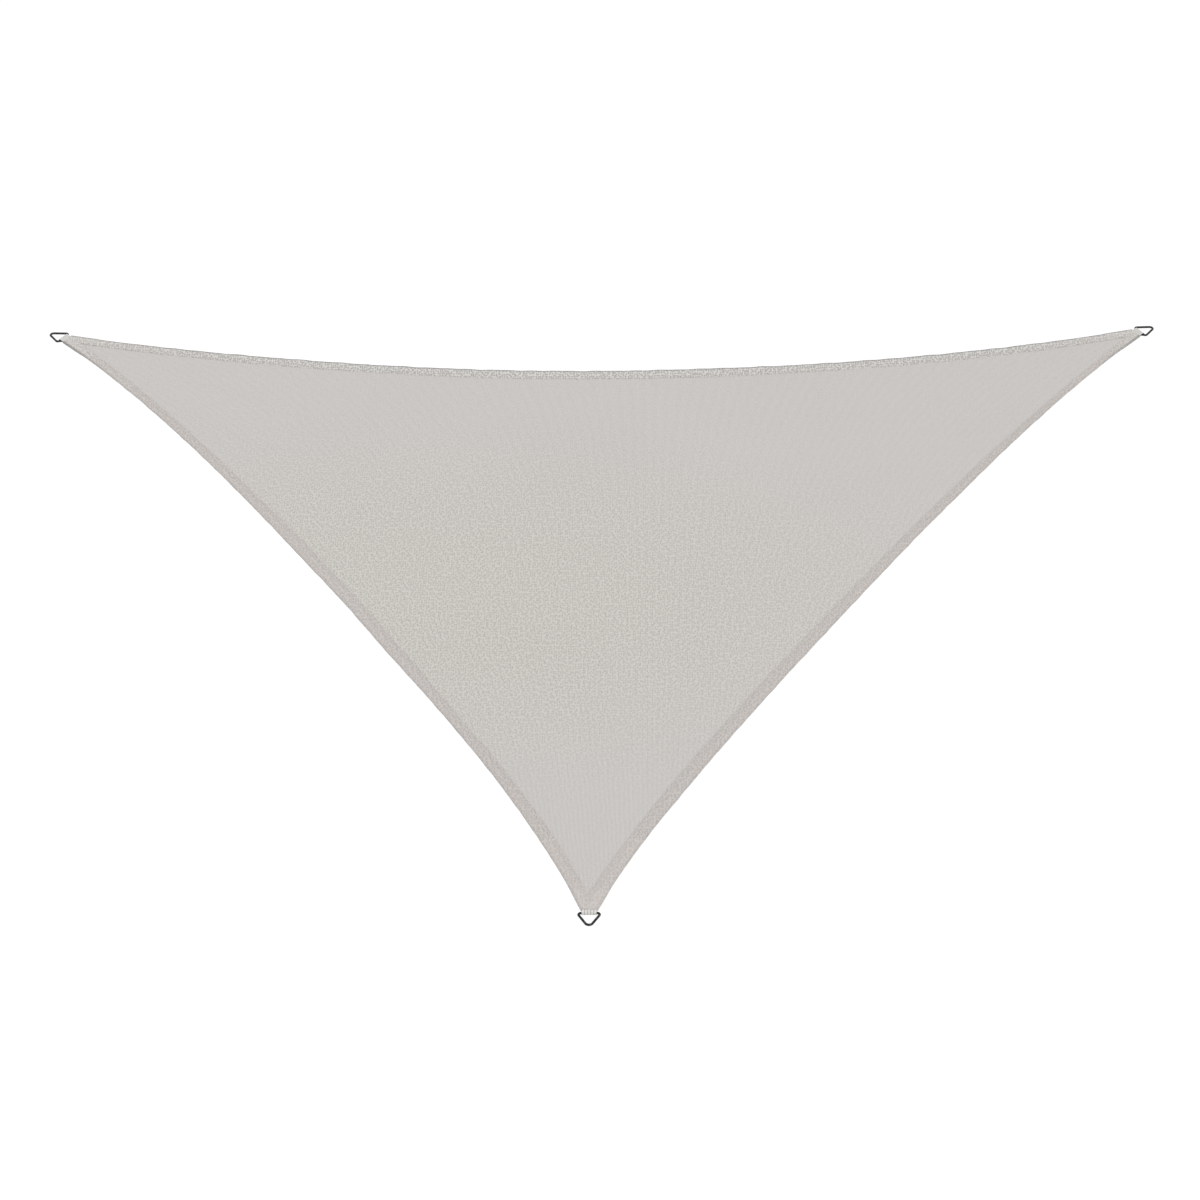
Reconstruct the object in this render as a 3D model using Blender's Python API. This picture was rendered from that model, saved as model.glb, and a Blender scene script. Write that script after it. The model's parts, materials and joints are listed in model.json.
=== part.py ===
"""Three-cornered shade sail, stretched level between three steel corner rings.

Metres, +Z up. The near corner points along -Y and the back edge runs along X.
The origin lies inside the tip of the near ring, where a hook bears on the wire.
Every piece is built about the middle of the sail, with the three ring bars at
height 0, and an empty then carries them all to the origin.
"""

import math
from typing import NamedTuple

import bmesh
import bpy
from mathutils import Matrix, Vector

# Sail. SIDE is measured from the middle of one ring's bar to the next.
SIDE = 3.0
CENTRE_DROP = 0.066
PANEL_THICK = 0.0016
RIM_SHARE = 0.4
EDGE_ROUND = 0.0015
HEM_STEP = 0.0015
END_BACK = 0.012
END_WIDTH = 0.040

# Corner ring, along the middle of its wire.
WIRE = 0.006
RING_WIDTH = 0.048
RING_LENGTH = 0.043
BAR_BEND = 0.006
TIP_BEND = 0.009

# Webbing loop and the pocket that it is sewn into.
WEB_WIDTH = 0.035
WEB_THICK = 0.0013
WEB_TAIL = 0.0405
FIT = 0.0003

# How fine the curved shapes are.
PANEL_ROWS = 36
CROWDING = 0.6
CORNER_STEPS = 3
BEND_STEPS = 9
WRAP_STEPS = 12
WIRE_SMOOTHNESS = 3
SHARP_DEG = 40.0
SEARCH_ROUNDS = 40
MITRE_ROUNDS = 12
MITRE_PROBE = 1e-4


class Corner(NamedTuple):
    """Where one corner lies, seen from the middle of the sail."""

    name: str
    azimuth_deg: float


class Edge(NamedTuple):
    """One edge of the panel, from one corner to the next."""

    start: int
    end: int
    cut: float  # how far the curve is cut in at most
    fullness: float  # 2 is a parabola, and more is flatter in the middle
    lean: float  # above 0 the cut is deeper towards the end corner
    hem: float  # how wide the turned and sewn hem is


class Layers(NamedTuple):
    """How thick the hem is from this distance to a ring's bar outwards."""

    reach: float
    thick: float


CORNERS = (Corner("near", -90.0), Corner("right", 30.0), Corner("left", 150.0))
EDGES = (
    Edge(start=0, end=1, cut=0.106, fullness=2.64, lean=0.036, hem=0.042),
    Edge(start=1, end=2, cut=0.114, fullness=1.94, lean=-0.052, hem=0.040),
    Edge(start=2, end=0, cut=0.121, fullness=2.70, lean=-0.040, hem=0.040),
)
HEM_LAYERS = (
    Layers(reach=0.0, thick=0.0064),
    Layers(reach=0.10, thick=0.0046),
    Layers(reach=0.32, thick=0.0032),
)

RADIUS = SIDE / math.sqrt(3.0)

# The cloth and its webbing leave a corner at this slope, and the rings lie level.
CORNER_SLOPE = 2.0 * CENTRE_DROP / RADIUS
RING_SLOPE = 0.0


def outward(corner):
    """Level direction from the middle of the sail to a corner."""
    azimuth = math.radians(corner.azimuth_deg)
    return Vector((math.cos(azimuth), math.sin(azimuth)))


def sideways(corner):
    """Level direction across a corner, a quarter turn on from outward."""
    away = outward(corner)
    return Vector((-away.y, away.x))


def height(point):
    """Height of the hanging cloth's middle layer above a level point."""
    return -CENTRE_DROP * (1.0 - point.length_squared / RADIUS**2)


def corner_frame(corner, slope):
    """Frame at a ring's bar: X outward at a slope, Y along the bar."""
    away = outward(corner)
    x_axis = Vector((away.x, away.y, slope)).normalized()
    y_axis = sideways(corner).to_3d()
    z_axis = x_axis.cross(y_axis)
    turn = Matrix((x_axis, y_axis, z_axis)).transposed()
    return Matrix.Translation((away * RADIUS).to_3d()) @ turn.to_4x4()


def blunt_end(corner, side):
    """One of the two points where a corner of the panel is cut off square."""
    middle = outward(corner) * (RADIUS - END_BACK)
    return middle + sideways(corner) * side * END_WIDTH / 2.0


def edge_point(edge, share, inset=0.0):
    """Level point on an edge at a share of its length, moved in by inset."""
    start = blunt_end(CORNERS[edge.start], 1.0)
    end = blunt_end(CORNERS[edge.end], -1.0)
    along = end - start
    inward = Vector((-along.y, along.x)).normalized()
    across = 2.0 * share - 1.0
    bow = 1.0 - abs(across) ** edge.fullness
    tilt = 1.0 + edge.lean * across
    fall = math.copysign(abs(across) ** (edge.fullness - 1.0), across)
    slope = 2.0 * edge.cut * (edge.lean * bow - edge.fullness * fall * tilt)
    tangent = (along + inward * slope).normalized()
    normal = Vector((-tangent.y, tangent.x))
    return start + along * share + inward * edge.cut * bow * tilt + normal * inset


def cross(first, second):
    """Turn from one level vector to another, as the size of their product."""
    return first.x * second.y - first.y * second.x


def mitre(ending, starting, trim=0.0):
    """Shares of two edges at which their hems' inner lines cross."""
    back, ahead = 1.0, 0.0
    for _ in range(MITRE_ROUNDS):
        here = edge_point(ending, back, ending.hem - trim)
        there = edge_point(starting, ahead, starting.hem - trim)
        run_back = edge_point(ending, back + MITRE_PROBE, ending.hem - trim) - here
        run_ahead = edge_point(starting, ahead + MITRE_PROBE, starting.hem - trim) - there
        gap = there - here
        spread = cross(run_back, run_ahead)
        back += MITRE_PROBE * cross(gap, run_ahead) / spread
        ahead += MITRE_PROBE * cross(gap, run_back) / spread
    return back, ahead


def crowded(share):
    """Shares from 0 to 1 that lie closer together towards both ends."""
    return share - CROWDING * math.sin(2.0 * math.pi * share) / (2.0 * math.pi)


def hem_thickness(point):
    """Thickness of the sewn layers at a level point of the hem."""
    distance = min((point - outward(corner) * RADIUS).length for corner in CORNERS)
    return [layers.thick for layers in HEM_LAYERS if layers.reach <= distance][-1]


class SheetMesh:
    """Both faces of a cloth, built together from points of its middle layer."""

    def __init__(self):
        self.mesh = bmesh.new()

    def point(self, level, thick):
        """Add a point as an upper and a lower vertex."""
        middle = height(level)
        upper = self.mesh.verts.new((level.x, level.y, middle + thick / 2.0))
        lower = self.mesh.verts.new((level.x, level.y, middle - thick / 2.0))
        return upper, lower

    def patch(self, *points):
        """Add one patch, its points anticlockwise from above, to both faces."""
        self.mesh.faces.new([upper for upper, _ in points])
        self.mesh.faces.new([lower for _, lower in reversed(points)])

    def wall(self, first, second):
        """Close the rim between two neighbouring points."""
        self.mesh.faces.new((first[0], first[1], second[1], second[0]))


def finished_mesh(name, mesh, material):
    """Mesh data of a bmesh, facing out, smooth but for its sharp folds."""
    bmesh.ops.recalc_face_normals(mesh, faces=mesh.faces)
    data = bpy.data.meshes.new(name)
    mesh.to_mesh(data)
    mesh.free()
    data.materials.append(material)
    data.shade_smooth()
    data.set_sharp_from_angle(angle=math.radians(SHARP_DEG))
    return data


def linked_object(name, data):
    """New object in the scene."""
    obj = bpy.data.objects.new(name, data)
    bpy.context.collection.objects.link(obj)
    return obj


def rim_shares(first, last):
    """Shares along a whole edge, with the strip beside the panel in between."""
    corner = [first * step / CORNER_STEPS for step in range(CORNER_STEPS)]
    strip = strip_shares(first, last)
    tail = [last + (1.0 - last) * step / CORNER_STEPS for step in range(1, CORNER_STEPS + 1)]
    return corner + strip + tail


def strip_shares(first, last):
    """Shares along the stretch of an edge that lies beside the panel."""
    return [first + (last - first) * crowded(row / PANEL_ROWS) for row in range(PANEL_ROWS + 1)]


def shoulder(edge, share):
    """Level point where the rounded rim meets the flat of the hem."""
    point = edge_point(edge, share, EDGE_ROUND)
    if share in (0.0, 1.0):
        corner = CORNERS[edge.start if share == 0.0 else edge.end]
        point -= outward(corner) * EDGE_ROUND
    return point


def panel_grid(sheet, sides):
    """Fill the panel inside its hem, whose three sides are lists of points.

    Each side is a list of level points and sheet points. The grid's rows run
    parallel to the sides, and the sides' curves fade out towards the middle.
    """
    tips = [side[0][0] for side in sides]
    grid = {}
    for first in range(PANEL_ROWS + 1):
        for second in range(PANEL_ROWS + 1 - first):
            third = PANEL_ROWS - first - second
            counts = (first, second, third)
            if 0 in counts:
                side = next(index for index in range(3) if counts[index - 1] == 0)
                grid[counts] = sides[side][counts[(side + 1) % 3]][1]
                continue
            pull = [crowded(count / PANEL_ROWS) for count in counts]
            weight = [value / sum(pull) for value in pull]
            point = Vector((0.0, 0.0))
            for tip, value in zip(tips, weight):
                point += tip * value
            for index in range(3):
                point += faded_curve(sides[index], tips, weight, index)
            grid[counts] = sheet.point(point, PANEL_THICK)
    for first in range(PANEL_ROWS):
        for second in range(PANEL_ROWS - first):
            third = PANEL_ROWS - first - second
            corner = grid[first + 1, second, third - 1]
            ahead = grid[first, second + 1, third - 1]
            sheet.patch(corner, ahead, grid[first, second, third])
            if third > 1:
                sheet.patch(corner, grid[first + 1, second + 1, third - 2], ahead)


def faded_curve(side, tips, weight, index):
    """How far one curved side moves a grid point off the straight triangle."""
    here, there = weight[index], weight[(index + 1) % 3]
    reach = here + there
    share = there / reach
    place = share_to_row(share)
    row = min(int(place), PANEL_ROWS - 1)
    on_side = side[row][0].lerp(side[row + 1][0], place - row)
    straight = tips[index].lerp(tips[(index + 1) % 3], share)
    return (on_side - straight) * reach**2


def share_to_row(share):
    """Row number, with its fraction, whose crowded share is the one given."""
    low, high = 0.0, 1.0
    for _ in range(SEARCH_ROUNDS):
        middle = (low + high) / 2.0
        low, high = (middle, high) if crowded(middle) < share else (low, middle)
    return low * PANEL_ROWS


class HemStrip:
    """Rows of points along one edge, from its folded rim in to the panel."""

    def __init__(self, sheet, edge, first, last):
        inner = strip_shares(first, last)[1:-1]
        rim = [edge_point(edge, share) for share in rim_shares(first, last)]
        crest = [shoulder(edge, share) for share in rim_shares(first, last)]
        fold = [edge_point(edge, share, edge.hem - HEM_STEP) for share in inner]
        side = [edge_point(edge, share, edge.hem) for share in inner]
        self.rim = [sheet.point(level, RIM_SHARE * hem_thickness(level)) for level in rim]
        self.crest = [sheet.point(level, hem_thickness(level)) for level in crest]
        self.fold = [sheet.point(level, hem_thickness(level)) for level in fold]
        self.side = [(level, sheet.point(level, PANEL_THICK)) for level in side]

    def reach_corners(self, fold_tips, panel_tips):
        """Take in the mitred corner points that neighbouring strips share."""
        self.fold = [fold_tips[0], *self.fold, fold_tips[1]]
        self.side = [panel_tips[0], *self.side, panel_tips[1]]

    def sew(self, sheet):
        """Make the strip's faces: rounded rim, flat hem and step to the panel."""
        for place in range(len(self.rim) - 1):
            sheet.wall(self.rim[place], self.rim[place + 1])
            sheet.patch(*self.rim[place : place + 2], self.crest[place + 1], self.crest[place])
        for place in range(CORNER_STEPS):
            sheet.patch(*self.crest[place : place + 2], self.fold[0])
            sheet.patch(self.crest[-2 - place], self.crest[-1 - place], self.fold[-1])
        for row in range(PANEL_ROWS):
            beside = CORNER_STEPS + row
            sheet.patch(*self.crest[beside : beside + 2], self.fold[row + 1], self.fold[row])
            step = self.side[row + 1][1], self.side[row][1]
            sheet.patch(*self.fold[row : row + 2], *step)


def close_corner(sheet, ending, starting, fold_tip):
    """Fill the square end of a corner between two hem strips."""
    sheet.wall(ending.rim[-1], starting.rim[0])
    sheet.patch(ending.rim[-1], starting.rim[0], starting.crest[0], ending.crest[-1])
    sheet.patch(ending.crest[-1], starting.crest[0], fold_tip)


def build_cloth(material):
    """The panel with its hem, and three pockets cut into its corners."""
    sheet = SheetMesh()
    panel_mitres = [mitre(EDGES[index - 1], EDGES[index]) for index in range(3)]
    fold_mitres = [mitre(EDGES[index - 1], EDGES[index], HEM_STEP) for index in range(3)]
    fold_tips, panel_tips, strips = [], [], []
    for edge, panel_mitre, fold_mitre in zip(EDGES, panel_mitres, fold_mitres):
        level = edge_point(edge, fold_mitre[1], edge.hem - HEM_STEP)
        fold_tips.append(sheet.point(level, hem_thickness(level)))
        level = edge_point(edge, panel_mitre[1], edge.hem)
        panel_tips.append((level, sheet.point(level, PANEL_THICK)))
    for index, edge in enumerate(EDGES):
        after = (index + 1) % 3
        strip = HemStrip(sheet, edge, panel_mitres[index][1], panel_mitres[after][0])
        strip.reach_corners(
            (fold_tips[index], fold_tips[after]), (panel_tips[index], panel_tips[after])
        )
        strip.sew(sheet)
        strips.append(strip)
    for index, fold_tip in enumerate(fold_tips):
        close_corner(sheet, strips[index - 1], strips[index], fold_tip)
    panel_grid(sheet, [strip.side for strip in strips])
    cloth = linked_object("sail_cloth", finished_mesh("sail_cloth", sheet.mesh, material))
    for corner in CORNERS:
        cut_pocket(cloth, corner)
    return cloth


def cut_pocket(cloth, corner):
    """Open the end of a corner between its layers for the webbing's legs."""
    inner, outer = -WEB_TAIL - FIT, 0.0
    leg = WEB_THICK + FIT / 2.0
    size = Vector((outer - inner, WEB_WIDTH + 2.0 * FIT, 2.0 * (leg + FIT)))
    mesh = bmesh.new()
    bmesh.ops.create_cube(mesh, size=1.0)
    bmesh.ops.scale(mesh, vec=size, verts=mesh.verts)
    bmesh.ops.translate(mesh, vec=Vector(((outer + inner) / 2.0, 0.0, 0.0)), verts=mesh.verts)
    data = bpy.data.meshes.new("pocket_cutter_" + corner.name)
    mesh.to_mesh(data)
    mesh.free()
    cutter = linked_object(data.name, data)
    cutter.matrix_world = corner_frame(corner, CORNER_SLOPE)
    cutter.hide_render = True
    cutter.display_type = "WIRE"
    cutter.parent = cloth
    pocket = cloth.modifiers.new("pocket_" + corner.name, "BOOLEAN")
    pocket.operation = "DIFFERENCE"
    pocket.solver = "EXACT"
    pocket.object = cutter


def ring_path():
    """Middle line of the bent wire: a belt round its three bends."""
    bends = (
        (Vector((BAR_BEND, BAR_BEND - RING_WIDTH / 2.0)), BAR_BEND),
        (Vector((RING_LENGTH - TIP_BEND, 0.0)), TIP_BEND),
        (Vector((BAR_BEND, RING_WIDTH / 2.0 - BAR_BEND)), BAR_BEND),
    )
    leaving = []
    for index, (middle, radius) in enumerate(bends):
        next_middle, next_radius = bends[(index + 1) % 3]
        run = next_middle - middle
        lean = math.acos((radius - next_radius) / run.length)
        leaving.append(math.atan2(run.y, run.x) - lean)
    points = []
    for index, (middle, radius) in enumerate(bends):
        begin, end = leaving[index - 1], leaving[index]
        turn = (end - begin) % (2.0 * math.pi)
        for step in range(BEND_STEPS + 1):
            angle = begin + turn * step / BEND_STEPS
            points.append(middle + Vector((math.cos(angle), math.sin(angle))) * radius)
    return points


def build_rings(material):
    """Three bent wire rings that share one curve."""
    curve = bpy.data.curves.new("corner_ring", "CURVE")
    curve.dimensions = "3D"
    curve.bevel_depth = WIRE / 2.0
    curve.bevel_resolution = WIRE_SMOOTHNESS
    curve.render_resolution_u = 0
    spline = curve.splines.new("POLY")
    path = ring_path()
    spline.points.add(len(path) - 1)
    for point, place in zip(spline.points, path):
        point.co = (place.x, place.y, 0.0, 1.0)
    spline.use_cyclic_u = True
    spline.use_smooth = True
    curve.materials.append(material)
    return place_copies("corner_ring_", curve, RING_SLOPE)


def loop_path():
    """Middle line of the webbing in the X-Z plane, from tail round to tail."""
    leg = (FIT + WEB_THICK) / 2.0
    wrap = WIRE / 2.0 + FIT + WEB_THICK / 2.0
    mouth = END_BACK + FIT
    tangent = math.atan2(leg, -mouth) - math.acos(wrap / math.hypot(mouth, leg))
    points = [(-WEB_TAIL, leg), (-mouth, leg)]
    for step in range(WRAP_STEPS + 1):
        angle = tangent - 2.0 * tangent * step / WRAP_STEPS
        points.append((wrap * math.cos(angle), wrap * math.sin(angle)))
    points += [(-mouth, -leg), (-WEB_TAIL, -leg)]
    return [Vector(point) for point in points]


def build_loops(material):
    """Three webbing straps, each folded round its ring's bar."""
    path = loop_path()
    mesh = bmesh.new()
    stations = []
    for index, place in enumerate(path):
        before = path[max(index - 1, 0)]
        after = path[min(index + 1, len(path) - 1)]
        run = (after - before).normalized()
        normal = Vector((-run.y, run.x)) * WEB_THICK / 2.0
        ring = []
        for side, face in ((-1.0, 1.0), (1.0, 1.0), (1.0, -1.0), (-1.0, -1.0)):
            spot = place + normal * face
            ring.append(mesh.verts.new((spot.x, side * WEB_WIDTH / 2.0, spot.y)))
        stations.append(ring)
    for ring, following in zip(stations, stations[1:]):
        for index in range(4):
            other = (index + 1) % 4
            mesh.faces.new((ring[index], ring[other], following[other], following[index]))
    mesh.faces.new(stations[0])
    mesh.faces.new(reversed(stations[-1]))
    return place_copies("webbing_loop_", finished_mesh("webbing_loop", mesh, material), CORNER_SLOPE)


def place_copies(prefix, data, slope):
    """One object at each corner of the sail, all with the same shape."""
    copies = []
    for corner in CORNERS:
        obj = linked_object(prefix + corner.name, data)
        obj.matrix_world = corner_frame(corner, slope)
        copies.append(obj)
    return copies


def make_material(name, colour, roughness, metallic):
    """Principled material with one colour all over."""
    material = bpy.data.materials.new(name)
    material.use_nodes = True
    shader = material.node_tree.nodes["Principled BSDF"]
    shader.inputs["Base Color"].default_value = (*colour, 1.0)
    shader.inputs["Roughness"].default_value = roughness
    shader.inputs["Metallic"].default_value = metallic
    return material


def main():
    """Build the sail and carry it to its origin."""
    for obj in list(bpy.data.objects):
        bpy.data.objects.remove(obj, do_unlink=True)
    knit = make_material("knitted_cloth", (0.58, 0.56, 0.53), 0.85, 0.0)
    webbing = make_material("webbing", (0.66, 0.65, 0.63), 0.8, 0.0)
    steel = make_material("polished_steel", (0.50, 0.50, 0.51), 0.25, 1.0)
    pieces = [build_cloth(knit)]
    pieces += build_loops(webbing)
    pieces += build_rings(steel)
    hook_reach = Vector((RING_LENGTH - WIRE / 2.0, 0.0, 0.0))
    middle = linked_object("sail_middle", None)
    middle.location = -(corner_frame(CORNERS[0], RING_SLOPE) @ hook_reach)
    for piece in pieces:
        piece.parent = middle


main()
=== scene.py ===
"""Looks of a three-cornered shade sail: knitted cloth, webbing loops, wire rings and studio.

Metres, +Z up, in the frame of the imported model. The near corner points along -Y and the
back edge runs along X. Shapes that hang or are sewn are worked out from the plan of the
sail, whose corners are read from the frame.
"""

import json
import logging
import math
from collections.abc import Mapping, Sequence
from dataclasses import dataclass
from enum import Enum

import bmesh
import bpy
import numpy as np
from mathutils import Matrix, Vector


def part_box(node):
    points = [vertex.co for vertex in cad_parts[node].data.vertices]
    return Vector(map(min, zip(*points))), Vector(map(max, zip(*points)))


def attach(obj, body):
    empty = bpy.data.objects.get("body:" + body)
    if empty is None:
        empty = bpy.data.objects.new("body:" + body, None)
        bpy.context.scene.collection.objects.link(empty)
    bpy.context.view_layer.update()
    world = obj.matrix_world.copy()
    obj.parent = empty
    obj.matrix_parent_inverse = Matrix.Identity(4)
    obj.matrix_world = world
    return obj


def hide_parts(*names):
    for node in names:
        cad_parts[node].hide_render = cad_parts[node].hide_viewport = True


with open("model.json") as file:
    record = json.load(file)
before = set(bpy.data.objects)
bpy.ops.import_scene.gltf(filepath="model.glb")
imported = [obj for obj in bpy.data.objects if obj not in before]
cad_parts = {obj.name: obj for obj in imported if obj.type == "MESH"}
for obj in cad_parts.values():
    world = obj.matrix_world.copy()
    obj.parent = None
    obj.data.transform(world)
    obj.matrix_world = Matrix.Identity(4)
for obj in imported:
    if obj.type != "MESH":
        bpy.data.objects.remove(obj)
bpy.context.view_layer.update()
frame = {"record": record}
ROOT_BODY = "root"
WELD = 1e-5
RIM_LAYER = "from_rim"
SEWN_LAYER = "sewn_layers"
RIM_REACH = 0.015
ROUND_POINTS = 5
CORNER_COUNT = 3
STRAP_MAP = "strap"

Array = np.ndarray
Colour = tuple[float, float, float]

log = logging.getLogger("shade_sail")


class Ply(Enum):
    """Which part of the cloth a patch is, in the order of the cloth's materials."""

    PANEL = 0
    HEM = 1


class Face(Enum):
    """Which face of the cloth something lies on, as the sign of its height."""

    UPPER = 1.0
    LOWER = -1.0


def next_corner(corner: int) -> int:
    """Number of the corner at which the edge from this one ends."""
    return (corner + 1) % CORNER_COUNT


def rounding(radius: float) -> Array:
    """How far in the points of a quarter round lie, from 0 to its radius."""
    return radius * (1.0 - np.cos(np.linspace(0.0, math.pi / 2.0, ROUND_POINTS)))


def even_angles(sides: int) -> Array:
    """Even angles round a circle, from 0 on."""
    return np.arange(sides) * math.tau / sides


def quarter_round(share: Array) -> Array:
    """Height of a quarter circle over its foot, for shares from 0 to 1 and level beyond."""
    return np.sqrt(1.0 - (1.0 - np.clip(share, 0.0, 1.0)) ** 2)


def eased(share: Array) -> Array:
    """Smooth step from 0 to 1 for shares from 0 to 1, level before and beyond."""
    held = np.clip(share, 0.0, 1.0)
    return held * held * (3.0 - 2.0 * held)


def between_steps(steps_mm: Sequence[float], share: Array) -> Array:
    """Smooth line through even steps.

    Args:
        steps_mm: Its heights in millimetres at even steps from share 0 to 1.
        share: Where to read it.

    Returns:
        Its heights there, in metres.
    """
    steps = np.array(steps_mm) / 1000.0
    place = np.clip(share, 0.0, 1.0) * (len(steps) - 1)
    before = np.minimum(place.astype(int), len(steps) - 2)
    return steps[before] + (steps[before + 1] - steps[before]) * eased(place - before)


def turn_from(first: Array, second: Array) -> Array:
    """Size of the cross product of level vectors."""
    return first[..., 0] * second[..., 1] - first[..., 1] * second[..., 0]


def left_of(level: Array) -> Array:
    """Level vectors turned a quarter turn to the left."""
    return np.stack((-level[..., 1], level[..., 0]), axis=-1)


def unit(vectors: Array) -> Array:
    """Vectors brought to length 1."""
    return vectors / np.linalg.norm(vectors, axis=-1, keepdims=True)


# ---------------------------------------------------------------- the plan of the sail


@dataclass(frozen=True)
class RingSizes:
    """A bent wire ring, measured along the middle of its wire."""

    wire: float = 0.006
    width: float = 0.048
    length: float = 0.043
    bar_bend: float = 0.006
    tip_bend: float = 0.009

    @property
    def hook_reach(self) -> float:
        """How far a hook in the ring's tip bears from the middle of the bar's wire."""
        return self.length - self.wire / 2.0


@dataclass(frozen=True)
class Corner:
    """One corner, seen from above: the middle of its ring's bar and the way out."""

    name: str
    bar: Array
    away: Array

    @property
    def across(self) -> Array:
        """Level direction along the bar, a quarter turn on from away."""
        return left_of(self.away)

    def level(self, ahead: Array, aside: Array) -> Array:
        """Level points this far away from the bar, below 0 over the cloth, and along it."""
        return self.bar + np.outer(ahead, self.away) + np.outer(aside, self.across)

    def frame_at(self, slope: float) -> Matrix:
        """Frame at the middle of the bar.

        Args:
            slope: Rise over run of the frame's X axis, which points away.

        Returns:
            Matrix whose Y axis lies along the bar.
        """
        x_axis = Vector((*self.away, slope)).normalized()
        y_axis = Vector((*self.across, 0.0))
        turn = Matrix((x_axis, y_axis, x_axis.cross(y_axis))).transposed()
        return Matrix.Translation((*self.bar, 0.0)) @ turn.to_4x4()


@dataclass(frozen=True)
class EdgeCut:
    """How one edge is cut between its corners, and how its hem is turned.

    drawn and fold are taken at even steps from the edge's start to its end, in
    millimetres in from the cut line: where sewing has drawn the rim, and where the hem's
    inner fold lies.
    """

    cut: float
    fullness: float
    lean: float
    drawn: tuple[float, ...]
    fold: tuple[float, ...]
    end_reach: float = 0.03

    def rim_inset(self, share: Array) -> Array:
        """How far in from the cut line the sewn rim lies, which is 0 at both ends."""
        from_end = np.minimum(share, 1.0 - share) / self.end_reach
        return between_steps(self.drawn, share) * (1.0 - np.exp(-(from_end**2)))

    def fold_inset(self, share: Array) -> Array:
        """How far in from the cut line the hem's inner fold lies."""
        return between_steps(self.fold, share)


@dataclass(frozen=True)
class Layers:
    """How thick the sewn hem is from this distance to a ring's bar outwards."""

    reach: float
    thick: float


@dataclass(frozen=True)
class Crease:
    """A soft trough or ridge that the pull of a corner leaves in the panel.

    bearing_deg is measured from the corner's own line to the middle of the sail, above 0
    to the left when seen from the corner. A rise below 0 is a trough. narrow is the share
    of its width that it starts with.
    """

    corner: int
    bearing_deg: float
    start: float
    reach: float
    width: float
    rise: float
    narrow: float = 0.45

    def heights(self, corner: Corner, points: Array) -> Array:
        """How far the crease lifts level points.

        Args:
            corner: The corner that the crease runs from.
            points: Level points, one a row.

        Returns:
            One height a point.
        """
        bearing = math.radians(self.bearing_deg)
        inward = -corner.away
        run_axis = inward * math.cos(bearing) + left_of(inward) * math.sin(bearing)
        offset = points - corner.bar
        run = (offset @ run_axis - self.start) / self.reach
        swell = np.where((run > 0.0) & (run < 1.0), np.sin(math.pi * run) ** 2, 0.0)
        spread = self.width * (self.narrow + (1.0 - self.narrow) * np.clip(run, 0.0, 1.0))
        return self.rise * swell * np.exp(-((offset @ left_of(run_axis)) / spread) ** 2)


@dataclass(frozen=True)
class HemWaves:
    """Low waves that sewing leaves along a hem, dying out in the panel."""

    height: float = 0.0004
    lengths: tuple[float, ...] = (0.059, 0.092, 0.147)
    fade: float = 0.035
    stiff: float = 0.16
    phase: float = 1.7

    def heights(self, edge: int, run: Array, into_panel: Array, to_corner: Array) -> Array:
        """How far the waves lift points beside one edge.

        Args:
            edge: Which edge, so that no two hems wave alike.
            run: Distances along the edge.
            into_panel: Distances from the hem's inner fold into the panel.
            to_corner: Distances to the nearest bar, where the hem is stiff.

        Returns:
            One height a point.
        """
        wave = sum(
            np.sin(math.tau * run / length + (edge + 1.0) * (order + self.phase))
            for order, length in enumerate(self.lengths)
        )
        dying = np.exp(-np.clip(into_panel, 0.0, None) / self.fade)
        return self.height * wave * dying * eased(to_corner / self.stiff - 1.0)


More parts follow.
